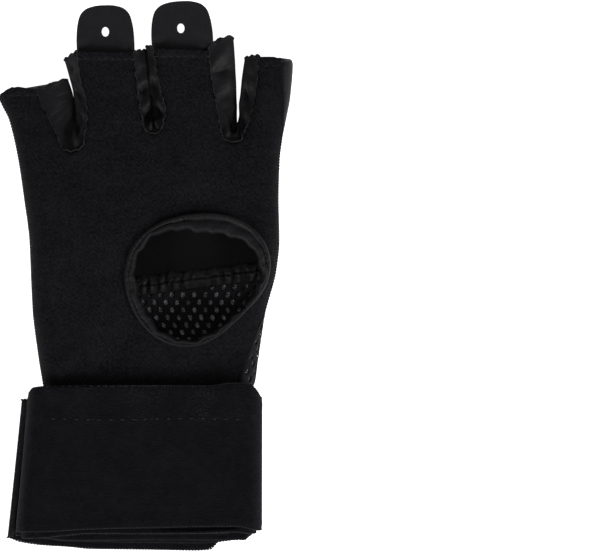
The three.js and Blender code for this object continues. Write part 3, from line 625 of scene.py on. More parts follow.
def shape_cloth(cloth, points, spots, stand, turned=False):
    """Puts a bmesh's corners at their points, lays its weave and raises its relief."""
    cloth.verts.index_update()
    for vertex, point in zip(cloth.verts, in_frame(points)):
        vertex.co = point
    if turned:
        bmesh.ops.reverse_faces(cloth, faces=cloth.faces)
    cloth.normal_update()
    raised = [vertex.normal * (rise * MM) for vertex, rise in zip(cloth.verts, stand)]
    for vertex, step in zip(cloth.verts, raised):
        vertex.co += step
    layer = cloth.loops.layers.uv.new("Cloth")
    for face in cloth.faces:
        for loop in face.loops:
            loop[layer].uv = spots[loop.vert.index]


def cloth_area(cloth):
    """Area of a bmesh cloth in square metres, before it has a thickness."""
    return round(sum(face.calc_area() for face in cloth.faces), 6)


def add_piece(name, shape, finish):
    """A piece of the glove from a bmesh, with a named finish, riding on the frame."""
    mesh = bpy.data.meshes.new(name)
    shape.to_mesh(mesh)
    shape.free()
    mesh.materials.append(finish_for(finish))
    mesh.shade_smooth()
    piece = bpy.data.objects.new(name, mesh)
    bpy.context.scene.collection.objects.link(piece)
    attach(piece, "root")
    return piece


def thicken(piece, thickness, offset=-1.0):
    """Gives a sheet its thickness in millimetres, inwards unless the offset says otherwise."""
    wall = piece.modifiers.new("Thickness", "SOLIDIFY")
    wall.thickness = thickness * MM
    wall.offset = offset
    wall.use_even_offset = False


def refine(piece):
    """Smooths a piece with one level of a subdivision surface."""
    smooth = piece.modifiers.new("Smooth", "SUBSURF")
    smooth.levels = 1
    smooth.render_levels = 1


def bead_mesh(segments, rings):
    """A round bead of radius 1, to be repeated."""
    bead = bmesh.new()
    bmesh.ops.create_uvsphere(bead, u_segments=segments, v_segments=rings, radius=1)
    mesh = bpy.data.meshes.new("Bead")
    bead.to_mesh(mesh)
    bead.free()
    return mesh


def row_of_beads(points, outward, sizes, rings=4, segments=6):
    """A bmesh row of small beads or stitches along points, lengthwise, across and square to
    the cloth as sizes says in millimetres. The way out of the cloth is one for all, or a list."""
    points = np.asarray(points, float)
    outward = np.broadcast_to(outward, points.shape)
    ahead = np.roll(points, -1, 0) - np.roll(points, 1, 0)
    ahead[0] = points[1] - points[0]
    ahead[-1] = points[-1] - points[-2]
    bead = bead_mesh(segments, rings)
    row = bmesh.new()
    for point, square, onward in zip(in_frame(points), outward, ahead):
        along = Vector(onward).normalized()
        up = Vector(square)
        up = (up - along * up.dot(along)).normalized()
        across = up.cross(along)
        place = Matrix.Identity(4)
        for number, (axis, size) in enumerate(zip((along, across, up), sizes)):
            place.col[number] = (*(axis * size * MM), 0)
        place.translation = point
        one = bead.copy()
        one.transform(place)
        row.from_mesh(one)
        bpy.data.meshes.remove(one)
    bpy.data.meshes.remove(bead)
    return row


def join_rows(rows):
    """One bmesh from several."""
    whole = bmesh.new()
    for row in rows:
        mesh = bpy.data.meshes.new("Row")
        row.to_mesh(mesh)
        row.free()
        whole.from_mesh(mesh)
        bpy.data.meshes.remove(mesh)
    return whole


def path_lengths(points):
    """Distance along a line of points, from its start to each of them."""
    lengths = np.linalg.norm(np.diff(points, axis=0), axis=1)
    return np.concatenate([[0], np.cumsum(lengths)])


def even_steps(points, pitch):
    """Fractional places along a line of points that lie one pitch apart on it."""
    distance = path_lengths(points)
    count = max(int(distance[-1] / pitch), 2)
    return np.interp(np.linspace(0, distance[-1], count + 1), distance, np.arange(len(points)))


def resample(points, places):
    """Points at fractional places along a list of points."""
    numbers = np.arange(len(points))
    return np.stack([np.interp(places, numbers, points[:, k]) for k in range(points.shape[1])], -1)


def spread(points, pitch):
    """Points that lie one pitch apart along a line of points."""
    return resample(points, even_steps(points, pitch))


class Socket:
    """A node's output that Python's operators carry on with Math nodes."""

    def __init__(self, finish, link):
        self.finish = finish
        self.link = link

    def maths(self, operation, first, second):
        """One Math node on two values or sockets."""
        return self.finish.node("Math", {"operation": operation}, {0: first, 1: second})

    def __add__(self, other):
        return self.maths("ADD", self, other)

    def __sub__(self, other):
        return self.maths("SUBTRACT", self, other)

    def __mul__(self, other):
        return self.maths("MULTIPLY", self, other)


class Finish:
    """A procedural material that is written as Python expressions."""

    def __init__(self, name):
        self.material = bpy.data.materials.new(name)
        self.material.use_nodes = True
        self.tree = self.material.node_tree
        self.tree.nodes.clear()

    def node(self, kind, settings=None, sockets=None, output=0):
        """A node of a type, with its settings and then the values or links of its sockets."""
        made = self.tree.nodes.new("ShaderNode" + kind)
        for name, value in (settings or {}).items():
            setattr(made, name, value)
        for name, value in (sockets or {}).items():
            if isinstance(value, Socket):
                self.tree.links.new(value.link, made.inputs[name])
            else:
                made.inputs[name].default_value = value
        return Socket(self, made.outputs[output]) if made.outputs else None

    def cloth(self):
        """The two coordinates of the cloth laid flat, in millimetres, and both as a vector."""
        spot = self.node("UVMap", {"uv_map": "Cloth"})
        across = self.node("SeparateXYZ", sockets={0: spot})
        return across, Socket(self, across.link.node.outputs[1]), spot

    def object_spot(self):
        """The place on the object, in metres."""
        return self.node("TexCoord", output=3)

    def wave(self, value, pitch):
        """A sine wave of a value, from -1 to 1."""
        return self.node("Math", {"operation": "SINE"}, {0: value * (2 * math.pi / pitch)})

    def noise(self, spot, scale, detail=2.0):
        """Smooth noise, about 0 to 1."""
        sockets = {"Vector": spot, "Scale": scale, "Detail": detail}
        return self.node("TexNoise", {"noise_dimensions": "3D"}, sockets)

    def range(self, value, low, high, to_low=0.0, to_high=1.0):
        """A value moved from one range to another, and held inside it."""
        sockets = {0: value, 1: low, 2: high, 3: to_low, 4: to_high}
        return self.node("MapRange", {"clamp": True}, sockets)

    def blend(self, share, base, dark, light):
        """A colour between a darker and a lighter tone of a base colour."""
        sockets = {0: share, 6: shade(base, dark), 7: shade(base, light)}
        return self.node("Mix", {"data_type": "RGBA"}, sockets, output=2)

    def done(self, colour, roughness, gloss, height, depth, sheen=0.0):
        """The material, from its colour, its roughness, a bump of a depth in millimetres, and
        the sheen of its fibres at a slant."""
        relief = {"Height": height, "Strength": 1.0, "Distance": depth * MM}
        bump = self.node("Bump", sockets=relief)
        surface = self.node(
            "BsdfPrincipled",
            sockets={
                "Base Color": colour,
                "Roughness": roughness,
                "Specular IOR Level": gloss,
                "Sheen Weight": sheen,
                "Normal": bump,
            },
        )
        self.node("OutputMaterial", sockets={"Surface": surface})
        return self.material


def shade(colour, factor):
    """A colour made lighter or darker, with its alpha for a socket."""
    return tuple(part * factor for part in colour) + (1.0,)


def knit_finish(colours):
    """Matte knit with a fine diagonal twill and flecks of lighter fibre."""
    finish = Finish("Knit twill")
    across, along, spot = finish.cloth()
    wander = finish.noise(spot, 0.35)
    rib = finish.wave(across * 0.80 + along * 0.60 + wander * 2.4, 1.25)
    loop = finish.wave(along * 0.80 - across * 0.60 + wander * 1.8, 1.05)
    faint = finish.range(finish.noise(spot, 0.16), 0.42, 0.68)
    grain = finish.noise(spot, 1.0, 5.0)
    mottle = finish.noise(spot, 0.33, 3.0)
    patch = finish.noise(spot, 0.07, 3.0)
    twill = (rib * 0.16 + loop * 0.08) * faint
    fleck = finish.range(twill * 0.7 + grain, 0.34, 0.78)
    share = finish.range(fleck * 0.55 + mottle * 0.45 + patch * 0.4, 0.35, 1.0)
    colour = finish.blend(share, colours.knit, 0.45, 1.75)
    return finish.done(colour, 0.9, 0.03, twill * 1.3 + grain * 1.3 + mottle * 0.9, 0.24, 0.014)


def mesh_finish(colours):
    """Matte yarn of the air mesh."""
    finish = Finish("Air mesh yarn")
    spot = finish.object_spot()
    yarn = finish.noise(spot, 2600.0, 3.0)
    patch = finish.noise(spot, 160.0, 2.0)
    share = finish.range(yarn * 0.6 + patch * 0.5, 0.3, 0.85)
    colour = finish.blend(share, colours.mesh, 0.5, 1.6)
    return finish.done(colour, 0.8, 0.04, yarn, 0.15)


def core_painted_highlight_finish(colours):
    """Spacer yarns in the holes of the air mesh, in a light colour that is a painted highlight."""
    finish = Finish("Mesh spacer yarn painted highlight")
    across, along, spot = finish.cloth()
    strand = finish.wave(across + along * 0.35, 0.55)
    cross = finish.wave(along - across * 0.2, 0.8)
    grain = finish.noise(spot, 1.1, 3.0)
    # Painted highlight: random bright flecks in the yarns' colour
    painted_highlight_fleck = finish.range(finish.noise(spot, 0.30, 1.0), 0.35, 0.68, -0.15, 0.45)
    # Painted shade: the colour darkens towards the thumb side, where the sheet is lit directly
    side = finish.range(across, 76.0, 84.0, 0.0, 0.35)
    share = finish.range(strand * 0.4 + cross * 0.3 + grain + painted_highlight_fleck - side, 0.3, 1.3)
    colour = finish.blend(share, colours.core, 0.12, 2.2)
    return finish.done(colour, 0.35, 0.5, strand + cross * 0.6, 0.15)


def creased_cloth(name, base, creases):
    """Smooth fine cloth with a low sheen and soft creases."""
    finish = Finish(name)
    across, along, spot = finish.cloth()
    weave = finish.wave(across, 0.5) + finish.wave(along, 0.5)
    grain = finish.noise(spot, 0.9, 4.0)
    patch = finish.noise(spot, 0.12, 2.0)
    stretched = finish.node("Mapping", sockets={"Vector": spot, "Scale": (0.5, 0.2, 1.0)})
    crease = finish.noise(stretched, 1.0, 2.0)
    share = finish.range(grain * 0.5 + patch * 0.6, 0.3, 0.85)
    colour = finish.blend(share, base, 0.8, 1.25)
    roughness = finish.range(grain, 0.3, 0.7, 0.5, 0.62)
    return finish.done(colour, roughness, 0.12, weave * 0.12 + grain + crease * creases, 0.06)


def smooth_finish(colours):
    """Smooth cloth of the gussets."""
    return creased_cloth("Smooth cloth", colours.smooth, 4.5)


def binding_finish(colours):
    """Smooth tape round the thumb hole."""
    return creased_cloth("Binding tape", colours.binding, 6.0)


def pad_finish(colours):
    """Close, dull cloth that lines the knuckle pad."""
    finish = Finish("Knuckle pad lining")
    across, along, spot = finish.cloth()
    warp = finish.wave(across + along * 0.5, 0.9)
    weft = finish.wave(along - across * 0.5, 0.9)
    weave = warp * 0.5 + weft * 0.5
    grain = finish.noise(spot, 1.0, 4.0)
    patch = finish.noise(spot, 0.10, 2.0)
    share = finish.range(grain * 0.5 + patch * 0.6, 0.3, 0.85)
    colour = finish.blend(share, colours.pad, 0.75, 1.35)
    return finish.done(colour, 0.75, 0.05, weave * 0.2 + grain, 0.1)


def rubber_finish(colours):
    """Smooth satin rubber of the pull tabs."""
    finish = Finish("Tab rubber")
    spot = finish.object_spot()
    brush = finish.node("Mapping", sockets={"Vector": spot, "Scale": (3.0, 0.5, 1.0)})
    streak = finish.noise(brush, 900.0, 3.0)
    cloud = finish.noise(spot, 120.0, 2.0)
    share = finish.range(streak * 0.4 + cloud * 0.6, 0.3, 0.75)
    colour = finish.blend(share, colours.rubber, 0.8, 1.25)
    roughness = finish.range(streak, 0.3, 0.7, 0.42, 0.55)
    return finish.done(colour, roughness, 0.14, streak, 0.03)


def band_finish(colours):
    """Woven elastic band with fine cross ribs and small specks."""
    finish = Finish("Woven band")
    across, along, spot = finish.cloth()
    wander = finish.noise(spot, 0.25)
    rib = finish.wave(along + wander * 0.5, 0.8)
    thread = finish.wave(across + wander * 0.8, 1.1)
    stretched = finish.node("Mapping", sockets={"Vector": spot, "Scale": (0.45, 1.6, 1.0)})
    grain = finish.noise(stretched, 1.3, 4.0)
    patch = finish.noise(spot, 0.08, 3.0)
    mottle = finish.noise(spot, 0.3, 3.0)
    height = rib * 0.08 + rib * thread * 0.10 + grain * 1.9 + mottle * 0.9
    share = finish.range(grain * 0.8 + rib * thread * 0.04 + mottle * 0.35 + patch * 0.3, 0.48, 1.0)
    lint = finish.range(finish.noise(spot, 1.5, 1.0), 0.57, 0.64)
    strewn = finish.range(finish.noise(spot, 0.09, 1.0), 0.40, 0.62)
    near_top = finish.range(along, 12.5, 15.0, 1.0, 0.12)
    share = finish.range(share + lint * strewn * near_top * 1.5, 0.0, 2.5)
    colour = finish.blend(share, colours.band, 0.5, 3.5)
    return finish.done(colour, 0.88, 0.03, height, 0.2)


def selvedge_finish(colours):
    """Looped edge threads of the wrist band, a little lighter than its weave; across the band's
    outer end this lighter colour is painted light.
    """
    finish = Finish("Band selvedge and painted end light")
    loops = finish.noise(finish.object_spot(), 900.0, 3.0)
    share = finish.range(loops, 0.3, 0.7)
    colour = finish.blend(share, colours.selvedge, 0.6, 1.5)
    return finish.done(colour, 0.75, 0.08, loops, 0.1)


def thread_finish(colours):
    """Twisted sewing thread, a little lighter than the cloth."""
    finish = Finish("Sewing thread")
    spot = finish.object_spot()
    twist = finish.noise(spot, 3200.0, 2.0)
    share = finish.range(twist, 0.3, 0.7)
    colour = finish.blend(share, colours.thread, 0.6, 1.5)
    return finish.done(colour, 0.6, 0.15, twist, 0.08)


FINISH_MAKERS = {
    "knit": knit_finish,
    "mesh": mesh_finish,
    "core": core_painted_highlight_finish,
    "smooth": smooth_finish,
    "binding": binding_finish,
    "pad": pad_finish,
    "rubber": rubber_finish,
    "band": band_finish,
    "selvedge": selvedge_finish,
    "thread": thread_finish,
}
finishes = {}


def finish_for(name):
    """The named material, made once."""
    if name not in finishes:
        finishes[name] = FINISH_MAKERS[name](bpy.context.scene.glove_colours)
    return finishes[name]


def length_setting(name, description, millimetres):
    """A length that a user may change."""
    return bpy.props.FloatProperty(
        name=name,
        description=description,
        default=millimetres * MM,
        min=0.0,
        unit="LENGTH",
        precision=5,
    )


def colour_setting(name, description, default):
    """A colour that a user may change."""
    return bpy.props.FloatVectorProperty(
        name=name,
        description=description,
        default=default,
        min=0.0,
        max=1.0,
        size=3,
        subtype="COLOR",
    )


class GloveSizes(bpy.types.PropertyGroup):
    """Thicknesses and pitches of the glove's cloths and threads."""

    palm_cloth: length_setting("Palm cloth", "Thickness of the knit palm", 1.2)
    mesh_cloth: length_setting("Air mesh", "Thickness of the air mesh", 2.2)
    mesh_yarn: length_setting("Mesh yarn", "Thickness of each net of the air mesh", 0.5)
    mesh_hole_pitch: length_setting("Hole pitch", "Distance between mesh holes in a row", 4.07)
    mesh_row_pitch: length_setting("Row pitch", "Distance between rows of mesh holes", 2.8)
    knuckle_cloth: length_setting("Knuckle panel", "Thickness of the padded upper back", 3.0)
    gusset_cloth: length_setting("Gusset cloth", "Thickness of the gussets' cloth", 0.8)
    binding_cloth: length_setting("Binding", "Thickness of the thumb hole's tape", 0.8)
    band_cloth: length_setting("Wrist band", "Thickness of the wrist band", 1.2)
    tab_sheet: length_setting("Tab", "Thickness of a pull tab", 1.3)
    seam_gap: length_setting("Seam gap", "Gap between two cloths at a seam", 0.35)
    bead_pitch: length_setting("Overlock pitch", "Distance between the side seam's loops", 1.1)
    stitch_pitch: length_setting("Stitch pitch", "Distance between the hems' stitches", 2.4)


class GloveColours(bpy.types.PropertyGroup):
    """Colours of the glove's cloths."""

    knit: colour_setting("Knit", "Colour of the palm's knit", (0.0062, 0.0062, 0.0072))
    mesh: colour_setting("Air mesh", "Colour of the mesh's yarn", (0.0130, 0.0130, 0.0145))
    # The spacer yarns' light colour is a painted highlight in the mesh's holes
    core: colour_setting("Spacer yarn", "Colour seen in the mesh's holes", (0.42, 0.42, 0.45))
    smooth: colour_setting("Smooth cloth", "Colour of the smooth cloth", (0.0085, 0.0085, 0.0098))
    binding: colour_setting("Binding", "Colour of tape and upper back", (0.0062, 0.0062, 0.0072))
    pad: colour_setting("Knuckle pad", "Colour of the pad's lining", (0.0042, 0.0042, 0.0048))
    rubber: colour_setting("Rubber", "Colour of the pull tabs", (0.0085, 0.0085, 0.0100))
    band: colour_setting("Band", "Colour of the wrist band", (0.0047, 0.0047, 0.0058))
    # The selvedge colour is also painted light on the band's outer end
    selvedge: colour_setting("Selvedge", "Colour of the band's edges", (0.0095, 0.0095, 0.0108))
    thread: colour_setting("Thread", "Colour of the sewing thread", (0.0130, 0.0130, 0.0145))


class GloveStage(bpy.types.PropertyGroup):
    """Floor, light and camera."""

    floor_width: length_setting("Floor width", "Width of the floor", 3000.0)
    camera_height: length_setting("Camera height", "Height of the camera over the glove", 3000.0)
    sky_light: bpy.props.FloatProperty(
        name="Sky light",
        description="Strength of the even light from all sides",
        default=0.30,
        min=0.0,
    )
    lamp_power: bpy.props.FloatProperty(
        name="Lamp power",
        description="Power of the large soft lamp",
        default=17.0,
        min=0.0,
        unit="POWER",
    )


class GLOVE_OT_palm(bpy.types.Operator):
    """Make the knit palm with its finger fronts, hems and overlocked side seams"""

    bl_idname = "glove.palm"
    bl_label = "Palm"

    BLOCKS = [6, 8, 6, 14, 6, 14, 6, 5, 6]
    HAND_ROWS = 78
    FINGER_ROWS = 14
    HEM_ROWS = 8
    HEM_FROM = 0.82
    HEM_WIDTH = 3.0
    HEM_GROOVE = 3.3
    FAR_FROM_TOP = 99.0
    SEAM_FOOT = -40.5
    LITTLE_SEAM_TOP = 67.0
    THUMB_SEAM_TOP = 80.6
    HOLE_REACH = 2.5
    RIM_RUMPLE = 0.25

    def execute(self, context):
        sizes = context.scene.glove_sizes
        columns = face_columns(self.BLOCKS)
        stages = np.concatenate([
            np.linspace(0, 1, self.HAND_ROWS, endpoint=False),
            1 + np.linspace(0, self.HEM_FROM, self.FINGER_ROWS, endpoint=False),
            1 + np.linspace(self.HEM_FROM, 1, self.HEM_ROWS),
        ])

        def place(i, j):
            c = columns[i]
            t = stages[j]
            points = palm_face.point(c, t)
            return points, palm_face.cloth_spot(c, t), self.relief(c, t, points)

        def cut(i, j, middle):
            x = middle[:, 0] - THUMB_HOLE[0]
            y = middle[:, 1] - THUMB_HOLE[1]
            is_hole = np.hypot(x, y) < thumb_cut(np.arctan2(y, x)) + 0.2
            return in_slot(palm_face, columns, stages, i, j) | is_hole

        cloth = make_cloth(len(columns) - 1, len(stages) - 1, place, cut)
        self.round_hole(cloth)
        palm = add_piece("palm_knit", cloth, "knit")
        thicken(palm, sizes.palm_cloth / MM)
        refine(palm)
        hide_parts("palm_panel")
        trims = [
            add_piece("palm_overlock", self.side_beads(sizes), "knit"),
            add_piece("palm_slot_rim", self.slot_rim(), "smooth"),
            add_piece("palm_stitches", self.hem_stitches(sizes), "thread"),
        ]
        return {"FINISHED"}

    def relief(self, c, t, points):
        """Hems, rolled slot edges and small unevenness of the knit."""
        x = points[:, 0]
        y = points[:, 1]
        top = palm_face.plan(c, np.full_like(t, 2.0))[:, 1]
        below_top = np.where(t > 1, top - y, self.FAR_FROM_TOP)
        hem = 0.35 * (1 - smooth_step(below_top, self.HEM_WIDTH - 0.5, self.HEM_GROOVE))
        groove = -0.3 * hump(below_top, self.HEM_GROOVE, 0.5)
        edge = palm_face.edge_distance(points)
        rolled = -0.55 * (1 - smooth_step(edge, 0, 1.3)) + 0.15 * hump(edge, 2.0, 0.8)
        soft = 0.16 * rumple(x, y, 13, 3) + 0.07 * rumple(x, y, 5.5, 4)
        free = smooth_step(y, HELD_FLAT_TO, FREE_FROM)
        near_side = 1 - smooth_step(np.minimum(c, 9 - c), 0.3, 1.3)
        pucker = 0.14 * np.sin(y * 2.9 + 0.6 * np.sin(y)) * near_side
        return hem + groove + rolled + (soft + pucker) * free

    def round_hole(self, cloth):
        """Draws the cut corners round the thumb hole onto the hole's smooth edge. The palm's other
        edges lie beyond the reach."""
        middle = in_frame([*THUMB_HOLE, 0])
        for vertex in cloth.verts:
            x = (vertex.co.x - middle[0]) / MM
            y = (vertex.co.y - middle[1]) / MM
            turn = np.array([math.atan2(y, x)])
            radius = thumb_cut(turn)
            if vertex.is_boundary and math.hypot(x, y) <= radius[0] + self.HOLE_REACH:
                x, y = round_thumb(radius, turn)
                vertex.co = in_frame([x[0], y[0], palm_height(x, y)[0]])

    def side_beads(self, sizes):
        """The loops of the overlocked seams along both sides."""
        rows = []
        for is_thumb, end in ((False, self.LITTLE_SEAM_TOP), (True, self.THUMB_SEAM_TOP)):
            y = np.linspace(self.SEAM_FOOT, end, 400)
            angle = thumb_wrap(y) if is_thumb else np.zeros_like(y)
            line = spread(side_point(is_thumb, y, angle), sizes.bead_pitch / MM)
            outward = np.zeros_like(line)
            angle = thumb_wrap(line[:, 1]) if is_thumb else np.zeros(len(line))
            outward[:, 0] = np.cos(angle) * (1 if is_thumb else -1)
            outward[:, 2] = np.sin(angle)
            rows.append(row_of_beads(line - outward * 0.2, outward, (0.68, 0.85, 0.4)))
        return join_rows(rows)

    def slot_rim(self):
        """The thin rolled rim of smooth cloth along the slots."""
        rows = []
        for number in range(3):
            c, t = palm_face.slot_edge(number, 40, 24)
            line = palm_face.point(c, t)
            line[:, 2] -= 0.55
            line = spread(line, 0.7)
            x, y = line[:, 0].copy(), line[:, 1].copy()
            line[:, 0] += self.RIM_RUMPLE * rumple(x, y, 2.4, 61 + number)
            line[:, 1] += self.RIM_RUMPLE * rumple(x, y, 2.0, 71 + number)
            line[:, 2] += 0.35 * rumple(x, y, 3.5, 41 + number) - 0.15
            rows.append(row_of_beads(line, UP, (0.85, 0.42, 0.55)))
        return join_rows(rows)

    def hem_stitches(self, sizes):
        """Stitch rows under the finger hems."""
        rows = []
        for first in (1.0, 3.0, 5.0, 7.0):
            c = np.linspace(first + 0.03, first + 0.97, 60)
            top = palm_face.plan(c, np.full_like(c, 2.0))[:, 1]
            crotch = palm_face.plan(c, np.full_like(c, 1.0))[:, 1]
            t = 2 - self.HEM_GROOVE / (top - crotch)
            line = palm_face.point(c, t)
            places = even_steps(line, sizes.stitch_pitch / MM)
            line = resample(line, places)
            c = np.interp(places, np.arange(60), c)
            t = np.interp(places, np.arange(60), t)
            outward = palm_face.outward(c, t)
            rows.append(row_of_beads(line + outward * 0.05, outward, (0.85, 0.2, 0.2)))
        return join_rows(rows)


class GLOVE_OT_back_mesh(bpy.types.Operator):
    """Make the air-mesh back of the hand: two nets with real holes, and between them spacer yarns
    with painted highlights
    """

    bl_idname = "glove.back_mesh"
    bl_label = "Back mesh"

    GIRTH = 99.0
    SQUEEZE = 0.27
    HOLE_MARGIN = 0.36
    SEAM_OVERHANG = 0.125
    SEAM_RISE = 0.3
    NET_TUCK = 0.3
    CORE_TUCK = 0.15
    CORE_COLUMNS = 60
    CORE_ROWS = 34
    CORE_SHEET = 0.25

    def execute(self, context):
        sizes = context.scene.glove_sizes
        apart = (sizes.mesh_cloth - sizes.mesh_yarn) / MM
        outer = self.net(sizes, "back_mesh_outer", 0.0, 0.0)
        inner = self.net(sizes, "back_mesh_inner", -apart, self.NET_TUCK)
        core = self.core(-apart / 2)
        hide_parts("back_mesh_panel")
        return {"FINISHED"}

    def seam_share(self, share):
        """The share along the seam at a share round the mesh, which reaches past both its ends."""
        return share * (1 + 2 * self.SEAM_OVERHANG) - self.SEAM_OVERHANG

    def seam_height(self, share):
        """How far a straight line along the seam lies up the mesh, past its ends too."""
        return seam_row(self.seam_share(share)) + self.SEAM_RISE - WRIST_END

    def girth(self, share, row, tuck):
        """A point on the mesh's outer face, from its share round the hand and its share up it,
        and how far it tucks under the palm's edge, in radians of the thumb side."""
        seam = seam_row(np.clip(self.seam_share(share), 0, 1)) + self.SEAM_RISE
        y = mix(WRIST_END, seam, row)
        wrap = RIGHT_ANGLE + thumb_wrap(y) + tuck
        round_length = SIDE_ROUND * RIGHT_ANGLE
        flat = thumb_side(y) - little_side(y) - 2 * SIDE_ROUND
        distance = share * (round_length + flat + SIDE_ROUND * wrap)
        trimmed = np.clip(distance, 0.05, None)
        little = side_point(False, y, np.clip(-trimmed / SIDE_ROUND, -RIGHT_ANGLE, 0))
        past = np.clip((distance - round_length - flat) / SIDE_ROUND, 0, wrap - 0.008)
        thumb = side_point(True, y, -RIGHT_ANGLE + past)
        x = little_side(y) + SIDE_ROUND + distance - round_length
        under = np.stack([x, y, underside(y)], -1)
        points = np.where((distance < round_length)[:, None], little, under)
        points = np.where((distance > round_length + flat)[:, None], thumb, points)
        return points, np.stack([distance, y], -1)

    def net(self, sizes, name, depth, tuck):
        """One net of hexagonal meshes that become round holes, cut off along the seam."""
        left_height = self.seam_height(0.0)
        right_height = self.seam_height(1.0)
        hole_pitch = sizes.mesh_hole_pitch / MM
        row_pitch = sizes.mesh_row_pitch / MM
        columns = 2 * round(self.GIRTH / hole_pitch)
        rows = math.ceil(right_height / row_pitch)
        half_pitch = hole_pitch / 2 * self.SQUEEZE
        net = bmesh.new()
        bmesh.ops.create_grid(net, x_segments=columns, y_segments=rows, size=0.5)
        stretch = Matrix.Diagonal((columns * half_pitch, rows * row_pitch, 1, 1))
        bmesh.ops.transform(net, matrix=stretch, verts=net.verts)
        crossing = []
        for edge in net.edges:
            middle = (edge.verts[0].co + edge.verts[1].co) / 2
            is_upright = abs(edge.verts[0].co.x - edge.verts[1].co.x) < 1e-6
            column = round(middle.x / half_pitch + columns / 2)
            row = math.floor(middle.y / row_pitch + rows / 2)
            if is_upright and 0 < column < columns and (column + row) % 2:
                crossing.append(edge)
        bmesh.ops.dissolve_edges(net, edges=crossing, use_verts=False)
        whole = [face for face in net.faces if len(face.verts) == 6]
        margin = self.HOLE_MARGIN
        bmesh.ops.inset_individual(net, faces=whole, thickness=margin, use_even_offset=True)
        bmesh.ops.delete(net, geom=whole, context="FACES")
        width = columns * half_pitch
        half_height = rows * row_pitch / 2
        bmesh.ops.bisect_plane(
            net,
            geom=[*net.verts, *net.edges, *net.faces],
            plane_co=(-width / 2, left_height - half_height, 0),
            plane_no=(left_height - right_height, width, 0),
            clear_outer=True,
        )
        corners = np.array([vertex.co[:2] for vertex in net.verts])
        share = corners[:, 0] / width + 0.5
        row = (corners[:, 1] + half_height) / mix(left_height, right_height, share)
        points, spots = self.girth(share, row, tuck)
        shape_cloth(net, points, spots, np.full(len(points), depth), turned=True)
        piece = add_piece(name, net, "mesh")
        thicken(piece, sizes.mesh_yarn / MM)
        refine(piece)
        return piece

    def core(self, depth):
        """The sheet of spacer yarns between the two nets, with painted highlights in its colour."""

        def place(i, j):
            points, spots = self.girth(i / self.CORE_COLUMNS, j / self.CORE_ROWS, self.CORE_TUCK)
            wavy = 0.12 * np.sin(i * 2.1) * np.sin(j * 1.7)
            return points, spots, depth + wavy

        cloth = make_cloth(self.CORE_COLUMNS, self.CORE_ROWS, place, turned=True)
        piece = add_piece("back_mesh_core", cloth, "core")
        thicken(piece, self.CORE_SHEET)
        return piece


